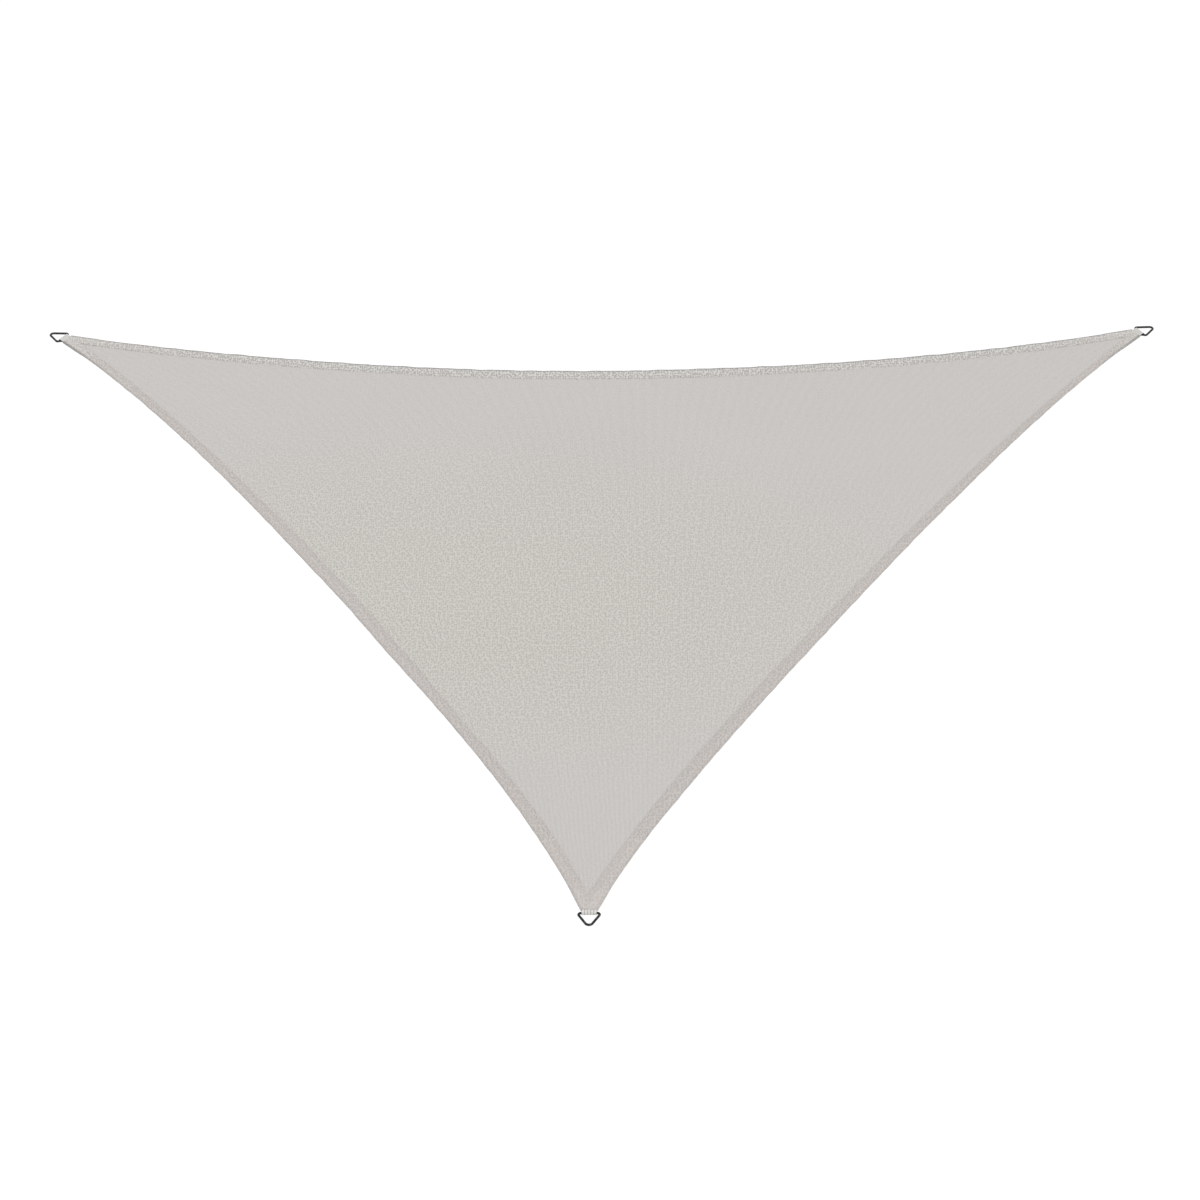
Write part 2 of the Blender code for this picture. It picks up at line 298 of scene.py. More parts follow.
@dataclass(frozen=True)
class SailPlan:
    """Outline, hems and hanging height of the sail.

    A corner's cloth ends squarely, end_width wide and end_back inside its bar. A step in a
    hem's thickness is step_run long. Rounds are how often a search is repeated.
    """

    corners: tuple[Corner, ...]
    edges: tuple[EdgeCut, ...]
    layers: tuple[Layers, ...]
    creases: tuple[Crease, ...]
    waves: HemWaves
    panel_thick: float
    drop: float
    end_back: float = 0.012
    end_width: float = 0.040
    step_run: float = 0.0025
    foot_rounds: int = 3
    mitre_rounds: int = 12
    mitre_probe: float = 1e-4

    @property
    def middle(self) -> Array:
        """Level point midway between the three bars."""
        return np.mean([corner.bar for corner in self.corners], axis=0)

    @property
    def radius(self) -> float:
        """Distance from the middle of the sail to each bar."""
        return float(np.linalg.norm(self.corners[0].bar - self.middle))

    @property
    def side(self) -> float:
        """Distance from one bar to the next."""
        return self.radius * math.sqrt(3.0)

    @property
    def corner_slope(self) -> float:
        """Slope of the hanging cloth where it reaches a corner."""
        return 2.0 * self.drop / self.radius

    def end_middle(self, corner: int) -> Array:
        """Middle of the square end of a corner's cloth."""
        return self.corners[corner].bar - self.corners[corner].away * self.end_back

    def ends(self, edge: int) -> tuple[Array, Array]:
        """Find the two points between which an edge is cut.

        Args:
            edge: Which edge.

        Returns:
            Its start and its end, as level points.
        """
        after = next_corner(edge)
        half = self.end_width / 2.0
        start = self.end_middle(edge) + self.corners[edge].across * half
        return start, self.end_middle(after) - self.corners[after].across * half

    def rim(self, edge: int, share: Array) -> tuple[Array, Array]:
        """Points of an edge and the way that it runs there.

        Args:
            edge: Which edge.
            share: Shares of its straight length, from 0 to 1.

        Returns:
            Level points and unit tangents, one a row.
        """
        cut = self.edges[edge]
        start, end = self.ends(edge)
        along = end - start
        inward = unit(left_of(along))
        across = 2.0 * share - 1.0
        bow = 1.0 - np.abs(across) ** cut.fullness
        tilt = 1.0 + cut.lean * across
        fall = np.sign(across) * np.abs(across) ** (cut.fullness - 1.0)
        slope = 2.0 * cut.cut * (cut.lean * bow - cut.fullness * fall * tilt)
        points = start + np.outer(share, along) + np.outer(cut.cut * bow * tilt, inward)
        return points, unit(along + np.outer(slope, inward))

    def edge_points(self, edge: int, share: Array, inset: Array | float) -> Array:
        """Level points at distances in from an edge's cut line."""
        points, tangents = self.rim(edge, share)
        return points + left_of(tangents) * np.reshape(inset, (-1, 1))

    def on_rim(self, edge: int, share: Array, inside: Array | float = 0.0) -> Array:
        """Level points on an edge's sewn rim, or inside it."""
        return self.edge_points(edge, share, self.edges[edge].rim_inset(share) + inside)

    def on_fold(self, edge: int, share: Array, outside: float = 0.0) -> Array:
        """Level points on the inner fold of an edge's hem, or outside it."""
        return self.edge_points(edge, share, self.edges[edge].fold_inset(share) - outside)

    def hem_width(self, edge: int, share: Array) -> Array:
        """Distances from an edge's sewn rim to its hem's inner fold."""
        return self.edges[edge].fold_inset(share) - self.edges[edge].rim_inset(share)

    def place_on(self, edge: int, points: Array) -> tuple[Array, Array]:
        """Where level points lie beside an edge.

        Args:
            edge: Which edge.
            points: Level points, one a row.

        Returns:
            Shares of the edge's straight length and distances in from its hem's fold.
        """
        start, end = self.ends(edge)
        length = np.linalg.norm(end - start)
        share = (points - start) @ (end - start) / length**2
        for _ in range(self.foot_rounds):
            foot, tangents = self.rim(edge, share)
            share = share + np.sum((points - foot) * tangents, axis=1) / length
            share = np.clip(share, 0.0, 1.0)
        foot, tangents = self.rim(edge, share)
        inside = turn_from(tangents, points - foot) - self.edges[edge].fold_inset(share)
        return share, inside

    def mitre(self, corner: int, trim: float = 0.0) -> tuple[float, float]:
        """Where two lines inside the hems of neighbouring edges cross.

        Args:
            corner: The corner between the edges.
            trim: How far the lines lie outside the hems' inner folds.

        Returns:
            Shares of the edge that ends at the corner and of the one that starts there.
        """
        ending, starting = corner - 1, corner
        shares = np.array((1.0, 0.0))
        for _ in range(self.mitre_rounds):
            tries = [np.array((share, share + self.mitre_probe)) for share in shares]
            here = self.on_fold(ending, tries[0], trim)
            there = self.on_fold(starting, tries[1], trim)
            gap = there[0] - here[0]
            back, ahead = here[1] - here[0], there[1] - there[0]
            moves = np.array((turn_from(gap, ahead), turn_from(gap, back)))
            shares = shares + self.mitre_probe * moves / turn_from(back, ahead)
        return float(shares[0]), float(shares[1])

    def to_bars(self, points: Array) -> Array:
        """Distances from level points to the nearest ring's bar."""
        gaps = [np.linalg.norm(points - corner.bar, axis=1) for corner in self.corners]
        return np.min(gaps, axis=0)

    def to_ends(self, points: Array) -> Array:
        """Distances from level points to the square end of the nearest corner."""
        gaps = [(self.end_middle(at) - points) @ self.corners[at].away for at in range(CORNER_COUNT)]
        return np.min(gaps, axis=0)

    def heights(self, points: Array) -> Array:
        """Heights of the cloth's middle layer: its bowl, creases and waves.

        Args:
            points: Level points, one a row.

        Returns:
            One height a point.
        """
        from_middle = np.sum((points - self.middle) ** 2, axis=1)
        total = -self.drop * (1.0 - from_middle / self.radius**2)
        for crease in self.creases:
            total += crease.heights(self.corners[crease.corner], points)
        to_bars = self.to_bars(points)
        for edge in range(CORNER_COUNT):
            share, inside = self.place_on(edge, points)
            total += self.waves.heights(edge, share * self.side, inside, to_bars)
        return total

    def sewn_thickness(self, points: Array) -> Array:
        """Thickness of the sewn layers on a hem.

        Args:
            points: Level points, one a row.

        Returns:
            One thickness a point.
        """
        to_bars = self.to_bars(points)
        thick = np.full(len(points), self.layers[-1].thick)
        for inner, outer in zip(self.layers, self.layers[1:]):
            thick += (inner.thick - outer.thick) * eased((outer.reach - to_bars) / self.step_run)
        return thick

    def reinforced(self, points: Array) -> Array:
        """How far a hem is reinforced: 0 where it is plain, up to 1 at the most layers."""
        plain, full = self.layers[-1].thick, self.layers[0].thick
        return (self.sewn_thickness(points) - plain) / (full - plain)


# ---------------------------------------------------------------- meshes


def dressed_object(
    name: str,
    vertices: Sequence[Sequence[float]],
    faces: Sequence[Sequence[int]],
    materials: Sequence[bpy.types.Material],
    slots: Sequence[int] | None = None,
    layers: Mapping[str, Array] | None = None,
) -> bpy.types.Object:
    """Make a smooth-shaded mesh object in the scene.

    Args:
        name: Name of the piece.
        vertices: Points in metres.
        faces: Corner numbers of each face, anticlockwise from outside.
        materials: The piece's materials.
        slots: Material number of each face, or None where there is one material.
        layers: Named values of each point, for patches whose seams are to be welded.

    Returns:
        The new object.
    """
    data = bpy.data.meshes.new(name)
    data.from_pydata(vertices, [], faces)
    for material in materials:
        data.materials.append(material)
    if slots is not None:
        data.polygons.foreach_set("material_index", slots)
    if layers is not None:
        for layer, values in layers.items():
            data.attributes.new(layer, "FLOAT", "POINT").data.foreach_set("value", values)
        mesh = bmesh.new()
        mesh.from_mesh(data)
        bmesh.ops.remove_doubles(mesh, verts=mesh.verts, dist=WELD)
        mesh.to_mesh(data)
        mesh.free()
    data.shade_smooth()
    piece = bpy.data.objects.new(name, data)
    bpy.context.collection.objects.link(piece)
    return piece


def grid_faces(rows: int, columns: int, rings: bool = False, loop: bool = False) -> list[list[int]]:
    """Number the faces of a grid of points.

    Args:
        rows: How many rows of points it has.
        columns: How many points a row has.
        rings: True if the last point of each row joins its first.
        loop: True if the last row joins the first.

    Returns:
        Point numbers of each face, row by row.
    """
    points = np.arange(rows * columns).reshape(rows, columns)
    points = np.pad(points, ((0, int(loop)), (0, int(rings))), mode="wrap")
    corners = (points[:-1, :-1], points[1:, :-1], points[1:, 1:], points[:-1, 1:])
    return np.stack(corners, axis=-1).reshape(-1, 4).tolist()


def swept_object(
    name: str, sections: Array, across: Array, material: bpy.types.Material, closed: bool
) -> bpy.types.Object:
    """Make a tube or strap from its cross-sections, with a map in metres on it.

    Args:
        name: Name of the piece.
        sections: Points by station, place round the section, and axis. The places run
            clockwise when seen from the first station along the line.
        across: Where each place lies on the map, and the first place once more.
        material: The piece's material.
        closed: True if the last station joins the first, and False if both ends are capped.

    Returns:
        The new object.
    """
    stations, around = sections.shape[:2]
    faces = grid_faces(stations, around, rings=True, loop=closed)
    run = arc_lengths(np.concatenate((sections[:, 0], sections[:1, 0])))
    run = run[: len(faces) // around + 1, None]
    along = np.hstack((run[:-1], run[1:], run[1:], run[:-1]))
    aside = np.stack((across[:-1], across[:-1], across[1:], across[1:]), axis=1)
    spots = np.stack(np.broadcast_arrays(along[:, None], aside[None]), axis=-1)
    if not closed:
        faces.append(list(range(around)))
        faces.append(list(range(stations * around - 1, (stations - 1) * around - 1, -1)))
    piece = dressed_object(name, sections.reshape(-1, 3).tolist(), faces, (material,))
    caps = np.zeros((len(piece.data.loops) - spots.size // 2) * 2)
    layer = piece.data.uv_layers.new(name=STRAP_MAP)
    layer.uv.foreach_set("vector", np.concatenate((spots.ravel(), caps)))
    return piece


def moved(points: Array, place: Matrix) -> Array:
    """Points carried into a frame."""
    turn = np.array(place.to_3x3())
    return points @ turn.T + np.array(place.translation)


def arc_lengths(line: Array) -> Array:
    """Distance along a line of points to each of them."""
    steps = np.linalg.norm(np.diff(line, axis=0), axis=1)
    return np.concatenate(((0.0,), np.cumsum(steps)))


def resampled(line: Array, places: Array) -> Array:
    """Points of a line at given distances along it."""
    lengths = arc_lengths(line)
    return np.stack([np.interp(places, lengths, line[:, axis]) for axis in range(line.shape[1])], axis=1)


@dataclass(frozen=True)
class Patch:
    """Part of the cloth, a sheet of level points that still lies flat.

    half is half of its thickness, rim is how far in from the sewn rim it lies, and sewing
    is how far it is reinforced, each at every point. Its faces run anticlockwise from above.
    """

    level: Array
    half: Array
    rim: Array
    sewing: Array
    faces: Sequence[Sequence[int]]
    ply: Ply


# ---------------------------------------------------------------- shaders


class Signal:
    """A node's output. Arithmetic on one that carries a number adds Math nodes."""

    def __init__(self, graph: "ShaderGraph", socket: bpy.types.NodeSocket) -> None:
        """Keep the output and the graph that it is in."""
        self.graph = graph
        self.socket = socket

    def output(self, name: str) -> "Signal":
        """Another output of the same node."""
        return Signal(self.graph, self.socket.node.outputs[name])

    def maths(self, operation: str, *others: "Signal | float") -> "Signal":
        """Result of a Math node over this number and others."""
        return self.graph.maths(operation, self, *others)

    def __add__(self, other: "Signal | float") -> "Signal":
        """Sum."""
        return self.maths("ADD", other)

    def __radd__(self, other: float) -> "Signal":
        """Sum with a plain number first."""
        return self.graph.maths("ADD", other, self)

    def __sub__(self, other: "Signal | float") -> "Signal":
        """Difference."""
        return self.maths("SUBTRACT", other)

    def __rsub__(self, other: float) -> "Signal":
        """Difference from a plain number."""
        return self.graph.maths("SUBTRACT", other, self)

    def __mul__(self, other: "Signal | float") -> "Signal":
        """Product."""
        return self.maths("MULTIPLY", other)

    def __truediv__(self, other: "Signal | float") -> "Signal":
        """Quotient."""
        return self.maths("DIVIDE", other)

    def larger(self, other: "Signal | float") -> "Signal":
        """The larger of two numbers."""
        return self.maths("MAXIMUM", other)

    def fraction(self) -> "Signal":
        """What is left over a whole number."""
        return self.maths("FRACT")

    def to_and_fro(self) -> "Signal":
        """Value folded back and forth between 0 and 1."""
        return self.maths("PINGPONG", 1.0)

    def magnitude(self) -> "Signal":
        """Value without its sign."""
        return self.maths("ABSOLUTE")

    def cosine(self) -> "Signal":
        """Cosine of an angle in radians."""
        return self.maths("COSINE")

    def wave(self) -> "Signal":
        """Wave that rises to 1 at every whole number and falls to 0 midway."""
        return (self * math.tau).cosine() * 0.5 + 0.5

    def ranged(self, low: float, high: float) -> "Signal":
        """Number from 0 to 1 spread out between two others."""
        return self * (high - low) + low

    def eased_between(self, low: float, high: float) -> "Signal":
        """Smooth step over this number, from 0 at low to 1 at high."""
        inputs = {"Value": self, "From Min": low, "From Max": high}
        return self.graph.add("ShaderNodeMapRange", {"interpolation_type": "SMOOTHSTEP"}, inputs)


class ShaderGraph:
    """A material's nodes, from its coordinates to its one Principled shader."""

    def __init__(self, name: str) -> None:
        """Make a material that holds only its output node.

        Args:
            name: The material's name.
        """
        self.material = bpy.data.materials.new(name)
        self.material.use_nodes = True
        self.tree = self.material.node_tree
        self.tree.nodes.clear()
        self.end = self.tree.nodes.new("ShaderNodeOutputMaterial")

    def add(
        self,
        kind: str,
        settings: Mapping[str, object] | None = None,
        inputs: Mapping[str | int, object] | None = None,
        output: str | int = 0,
    ) -> Signal:
        """Add one node.

        Args:
            kind: The node's type.
            settings: Its properties, which are set first.
            inputs: A value or a signal for each socket that is used.
            output: The output to return.

        Returns:
            The chosen output.
        """
        node = self.tree.nodes.new(kind)
        for name, value in (settings or {}).items():
            setattr(node, name, value)
        for name, value in (inputs or {}).items():
            if isinstance(value, Signal):
                self.tree.links.new(value.socket, node.inputs[name])
            else:
                node.inputs[name].default_value = value
        return Signal(self, node.outputs[output])

    def maths(self, operation: str, *values: Signal | float) -> Signal:
        """Result of a Math node over these values."""
        return self.add("ShaderNodeMath", {"operation": operation}, dict(enumerate(values)))

    def place(self) -> Signal:
        """Where a point lies in its object's own frame, in metres."""
        return self.add("ShaderNodeTexCoord", output="Object")

    def strap_place(self) -> Signal:
        """Where a point lies along and across a swept piece, in metres."""
        return self.add("ShaderNodeUVMap", {"uv_map": STRAP_MAP})

    def layer(self, name: str) -> Signal:
        """Value of one of the mesh's named layers."""
        return self.add("ShaderNodeAttribute", {"attribute_name": name}, None, "Fac")

    def stretched(self, vector: Signal, scale: Sequence[float]) -> Signal:
        """Vector with each axis multiplied by its own number."""
        settings = {"operation": "MULTIPLY"}
        return self.add("ShaderNodeVectorMath", settings, {0: vector, 1: tuple(scale)})

    def noise(self, vector: Signal, scale: float, detail: float = 0.0) -> Signal:
        """Smooth noise from 0 to 1, with scale grains to a unit and detail finer layers."""
        return self.add("ShaderNodeTexNoise", None, {"Vector": vector, "Scale": scale, "Detail": detail})

    def mixed(self, share: Signal, first: Signal | Colour, second: Signal | Colour) -> Signal:
        """Mix of two colours: all of the first at share 0, all of the second at 1."""
        ends = [(*end, 1.0) if isinstance(end, tuple) else end for end in (first, second)]
        return self.add("ShaderNodeMix", {"data_type": "RGBA"}, {0: share, 6: ends[0], 7: ends[1]}, 2)

    def shaded(self, colour: Signal, factor: Signal) -> Signal:
        """Colour made lighter or darker by a factor."""
        return self.add("ShaderNodeVectorMath", {"operation": "SCALE"}, {0: colour, "Scale": factor})

    def bumped(self, height: Signal, depth: float, strength: float) -> Signal:
        """Normal of a surface whose height, from 0 to 1, stands for a depth in metres."""
        return self.add("ShaderNodeBump", None, {"Strength": strength, "Distance": depth, "Height": height})

    def finished(self, inputs: Mapping[str, object]) -> bpy.types.Material:
        """Close the graph with a Principled shader.

        Args:
            inputs: A value or a signal for each of the shader's sockets that is used.

        Returns:
            The material.
        """
        shader = self.add("ShaderNodeBsdfPrincipled", None, inputs)
        self.tree.links.new(shader.socket, self.end.inputs["Surface"])
        return self.material


@dataclass(frozen=True)
class Grain:
    """Uneven dots that the knit shows from a few metres off, strongest in one place.

    strength is how much deeper the holes look in a dot, and tint how much darker its yarn
    is, both times strength. reach is the squared distance from the middle, counted in
    spreads, at which the grain starts to fade and at which it is weakest. Dots lie a size
    apart, and their shade falls off between the two shares of that in dot_edge.
    """

    middle: tuple[float, float]
    spread: tuple[float, float]
    strength: float
    least: float
    tint: float = 0.10
    size: tuple[float, float] = (0.0062, 0.0112)
    reach: tuple[float, float] = (0.0, 1.0)
    disorder: float = 0.75
    dot_edge: tuple[float, float] = (0.05, 0.62)

    def dots(self, graph: ShaderGraph, place: Signal) -> Signal:
        """Lay out the uneven rows of dots.

        Args:
            graph: The material's graph.
            place: Where to read them.

        Returns:
            0 in the middle of a dot, rising to 1 between dots.
        """
        cells = graph.stretched(place, (1.0 / self.size[0], 1.0 / self.size[1], 0.0))
        settings = {"voronoi_dimensions": "2D", "feature": "F1"}
        inputs = {"Vector": cells, "Scale": 1.0, "Randomness": self.disorder}
        return graph.add("ShaderNodeTexVoronoi", settings, inputs).eased_between(*self.dot_edge)

    def weight(self, graph: ShaderGraph, place: Signal) -> Signal:
        """How close a point is to where the grain is strongest.

        Args:
            graph: The material's graph.
            place: The point.

        Returns:
            1 in the middle of the grain, down to 0.
        """
        centre = (*self.middle, 0.0)
        offset = graph.add("ShaderNodeVectorMath", {"operation": "SUBTRACT"}, {0: place, 1: centre})
        scaled = graph.stretched(offset, (1.0 / self.spread[0], 1.0 / self.spread[1], 0.0))
        length = graph.add("ShaderNodeVectorMath", {"operation": "LENGTH"}, {0: scaled}, "Value")
        return 1.0 - (length * length).eased_between(*self.reach)


@dataclass(frozen=True)
class KnitFinish:
    """Knitted polyethylene: upright wales of loops, with tapes laid across the gaps.

    Wales and courses sway to and fro, sways times a metre. A loop's sides lag behind its
    middle by a share of a course. Pairs of numbers are where something starts and ends.
    """

    name: str
    tone: Colour
    weighted_tone: Colour
    grain: Grain
    painted_rim_shade: float = 0.0
    rim_least: float = 0.15
    rim_reach: tuple[float, float] = (0.002, 0.008)
    # Painted shade in the knit's holes.
    hole_shade: float = 0.42
    hole_depth: float = 0.7
    hole_edge: tuple[float, float] = (0.05, 0.5)
    plain_dot: float = 0.68
    backed: float = 0.6
    wale: float = 0.0030
    course: float = 0.0026
    wander: float = 0.0016
    sways: tuple[float, float] = (28.0, 19.0)
    lag: float = 0.7
    wale_side: tuple[float, float] = (0.3, 0.85)
    loop_foot: float = 0.55
    tape_side: tuple[float, float] = (-0.1, 0.8)
    tape_height: float = 0.45
    cloud_scale: float = 2.6
    cloud_range: tuple[float, float] = (0.985, 1.015)
    relief: float = 0.0005
    relief_strength: float = 0.4
    roughness: float = 0.78
    dot_roughness: float = 0.08
    loop_polish: float = 0.1

    def knit(self, graph: ShaderGraph, place: Signal) -> Signal:
        """Relief of the loops and tapes.

        Args:
            graph: The material's graph.
            place: Where to read it.

        Returns:
            0 in a hole, up to 1 on top of a loop.
        """
        sway = graph.noise(place, self.sways[0])
        drift = graph.noise(graph.stretched(place, (1.0, 1.0, 0.0)), self.sways[1])
        spot = graph.add("ShaderNodeSeparateXYZ", None, {0: place})
        column = (spot + (sway - 0.5) * self.wander) / self.wale
        row = (spot.output("Y") + (drift - 0.5) * self.wander) / self.course
        offset = (column.fraction() * 2.0 - 1.0).magnitude()
        loop = (row + offset * self.lag).wave()
        rib = 1.0 - offset.eased_between(*self.wale_side)
        slant = row + column.to_and_fro()
        tape = (slant * math.tau).cosine().eased_between(*self.tape_side)
        return (rib * loop.ranged(self.loop_foot, 1.0)).larger(tape * self.tape_height)

    def material(self) -> bpy.types.Material:
        """Build the material.

        Returns:
            The material.
        """
        graph = ShaderGraph(self.name)
        place = graph.place()
        relief = self.knit(graph, place)
        weight = self.grain.weight(graph, place)
        dots = self.grain.dots(graph, place)
        speckle = (self.plain_dot - dots) * weight.ranged(self.grain.least, 1.0) * self.grain.strength
        # Where the grain's weight is high the colour moves to the second tone: a warmer, slightly darker
        # tint on the panel, and painted light on the back hem.
        tone = graph.mixed(weight * weight, self.tone, self.weighted_tone)
        cloud = graph.noise(place, self.cloud_scale, detail=1.0).ranged(*self.cloud_range)
        # Painted shade in the knit's holes: the openings between yarns are darkened in the colour, more in
        # the grain's dots and less where sewn layers lie behind them.
        hole = 1.0 - relief.eased_between(*self.hole_edge)
        if self.painted_rim_shade:
            hole = hole * (1.0 - graph.layer(SEWN_LAYER) * self.backed)
        shade = 1.0 - hole * (speckle * self.hole_depth + self.hole_shade)
        shade = shade * (1.0 - speckle * self.grain.tint) * cloud
        # Painted shade along the hem's folded rim, strongest on the back edge where the grain's weight is
        # high.
        if self.painted_rim_shade:
            rim = 1.0 - graph.layer(RIM_LAYER).eased_between(*self.rim_reach)
            dark = weight.ranged(self.rim_least, 1.0) * self.painted_rim_shade
            shade = shade * (1.0 - rim * dark)
        return graph.finished(
            {
                "Base Color": graph.shaded(tone, shade),
                "Roughness": self.roughness + dots * self.dot_roughness - relief * self.loop_polish,
                "Specular IOR Level": 0.25,
                "Sheen Weight": 0.15,
                "Sheen Roughness": 0.5,
                "Normal": graph.bumped(relief, self.relief, self.relief_strength),
            }
        )


@dataclass(frozen=True)
class WebbingFinish:
    """Flat woven strap: cords along it, held by picks across.

    shares are what cords, their yarns, picks and fibres add to the relief. Pairs of
    numbers are where something starts and ends.
    """

    cord: float
    pick: float
    name: str = "woven_webbing"
    yarns: float = 4.0
    cord_side: tuple[float, float] = (0.1, 0.8)
    fibre_scale: float = 1100.0
    fibre_stretch: tuple[float, float, float] = (1.0, 5.0, 1.0)
    shares: tuple[float, float, float, float] = (0.45, 0.2, 0.2, 0.15)
    gap_edge: tuple[float, float] = (0.15, 0.75)
    tone: Colour = (0.70, 0.685, 0.66)
    # Painted shade in the grooves between cords.
    groove_shade_tone: Colour = (0.34, 0.33, 0.31)
    soil_scale: float = 60.0
    soil_range: tuple[float, float] = (0.88, 1.12)
    relief: float = 0.0002
    relief_strength: float = 0.7
    roughness: float = 0.74
    soil_roughness: float = 0.12

    def material(self) -> bpy.types.Material:
        """Build the material.

        Returns:
            The material.
        """
        graph = ShaderGraph(self.name)
        place = graph.strap_place()
        spot = graph.add("ShaderNodeSeparateXYZ", None, {0: place})
        across = spot.output("Y") / self.cord
        cord = (across * math.pi).cosine().magnitude().eased_between(*self.cord_side)
        side = across.maths("ROUND") * 0.5
        pick = (spot / self.pick + side).wave()
        yarn = (across * (math.pi * self.yarns)).cosine().magnitude()
        fibre = graph.noise(graph.stretched(place, self.fibre_stretch), self.fibre_scale, detail=2.0)
        of_cord, of_yarn, of_pick, of_fibre = self.shares
        relief = cord * of_cord + yarn * of_yarn + pick * of_pick + fibre * of_fibre
        # Painted shade in the grooves between cords and yarns: the colour darkens where the relief is low.
        tone = graph.mixed(relief.eased_between(*self.gap_edge), self.groove_shade_tone, self.tone)
        soil = graph.noise(place, self.soil_scale, detail=2.0)
        return graph.finished(
            {
                "Base Color": graph.shaded(tone, soil.ranged(*self.soil_range)),
                "Roughness": self.roughness + soil * self.soil_roughness,
                "Specular IOR Level": 0.3,
                "Sheen Weight": 0.2,
                "Normal": graph.bumped(relief, self.relief, self.relief_strength),
            }
        )


@dataclass(frozen=True)
class ThreadFinish:
    """Twisted sewing thread."""

    name: str
    tone: Colour
    twist_scale: float = 1400.0
    twist_range: tuple[float, float] = (0.85, 1.15)
    dark_share: float = 0.8
    relief: float = 0.0001
    relief_strength: float = 0.5
    roughness: float = 0.6

    def material(self) -> bpy.types.Material:
        """Build the material.

        Returns:
            The material.
        """
        graph = ShaderGraph(self.name)
        twist = graph.noise(graph.place(), self.twist_scale, detail=1.0)
        dark = tuple(self.dark_share * part for part in self.tone)
        tone = graph.mixed(twist, self.tone, dark)
        return graph.finished(
            {
                "Base Color": graph.shaded(tone, twist.ranged(*self.twist_range)),
                "Roughness": self.roughness,
                "Normal": graph.bumped(twist, self.relief, self.relief_strength),
            }
        )


@dataclass(frozen=True)
class SteelFinish:
    """Dark polished wire, marked along its length by drawing and handling, with lighter streaks that are
    partly wear and partly painted highlight.
    """

    name: str = "polished_wire"
    tone: Colour = (0.040, 0.041, 0.044)
    # Tone of the lighter streaks: partly wear, partly painted highlight.
    wear_and_highlight_tone: Colour = (0.30, 0.302, 0.308)
    mark_scale: float = 2600.0
    mark_stretch: tuple[float, float, float] = (0.08, 1.0, 1.0)
    smear_scale: float = 170.0
    smear_stretch: tuple[float, float, float] = (1.0, 0.6, 1.0)
    smear_share: float = 0.7
    wear_and_highlight_edge: tuple[float, float] = (0.54, 0.72)
    relief: float = 0.00004
    relief_strength: float = 0.3
    roughness: float = 0.13
    mark_roughness: float = 0.08
    smear_roughness: float = 0.22

    def material(self) -> bpy.types.Material:
        """Build the material.

        Returns:
            The material.
        """
        graph = ShaderGraph(self.name)
        place = graph.strap_place()
        marks = graph.noise(graph.stretched(place, self.mark_stretch), self.mark_scale, detail=2.0)
        smears = graph.noise(graph.stretched(place, self.smear_stretch), self.smear_scale, detail=2.0)
        # Lighter streaks along the wire: partly wear marks, partly painted highlight.
        wear_and_highlight = smears * self.smear_share + marks * (1.0 - self.smear_share)
        tone = graph.mixed(wear_and_highlight.eased_between(*self.wear_and_highlight_edge), self.tone, self.wear_and_highlight_tone)
        rough = smears * self.smear_roughness + marks * self.mark_roughness + self.roughness
        return graph.finished(
            {
                "Base Color": tone,
                "Metallic": 1.0,
                "Roughness": rough,
                "Normal": graph.bumped(marks, self.relief, self.relief_strength),
            }
        )


@dataclass(frozen=True)
class FloorFinish:
    """Matt white studio floor."""

    name: str = "studio_floor"
    tone: Colour = (0.97, 0.97, 0.97)
    faint_share: float = 0.99
    paint_scale: float = 3.0

    def material(self) -> bpy.types.Material:
        """Build the material.

        Returns:
            The material.
        """
        graph = ShaderGraph(self.name)
        paint = graph.noise(graph.place(), self.paint_scale, detail=2.0)
        faint = tuple(self.faint_share * part for part in self.tone)
        tone = graph.mixed(paint, self.tone, faint)
        return graph.finished({"Base Color": tone, "Roughness": 0.9, "Specular IOR Level": 0.0})


# ---------------------------------------------------------------- the cloth


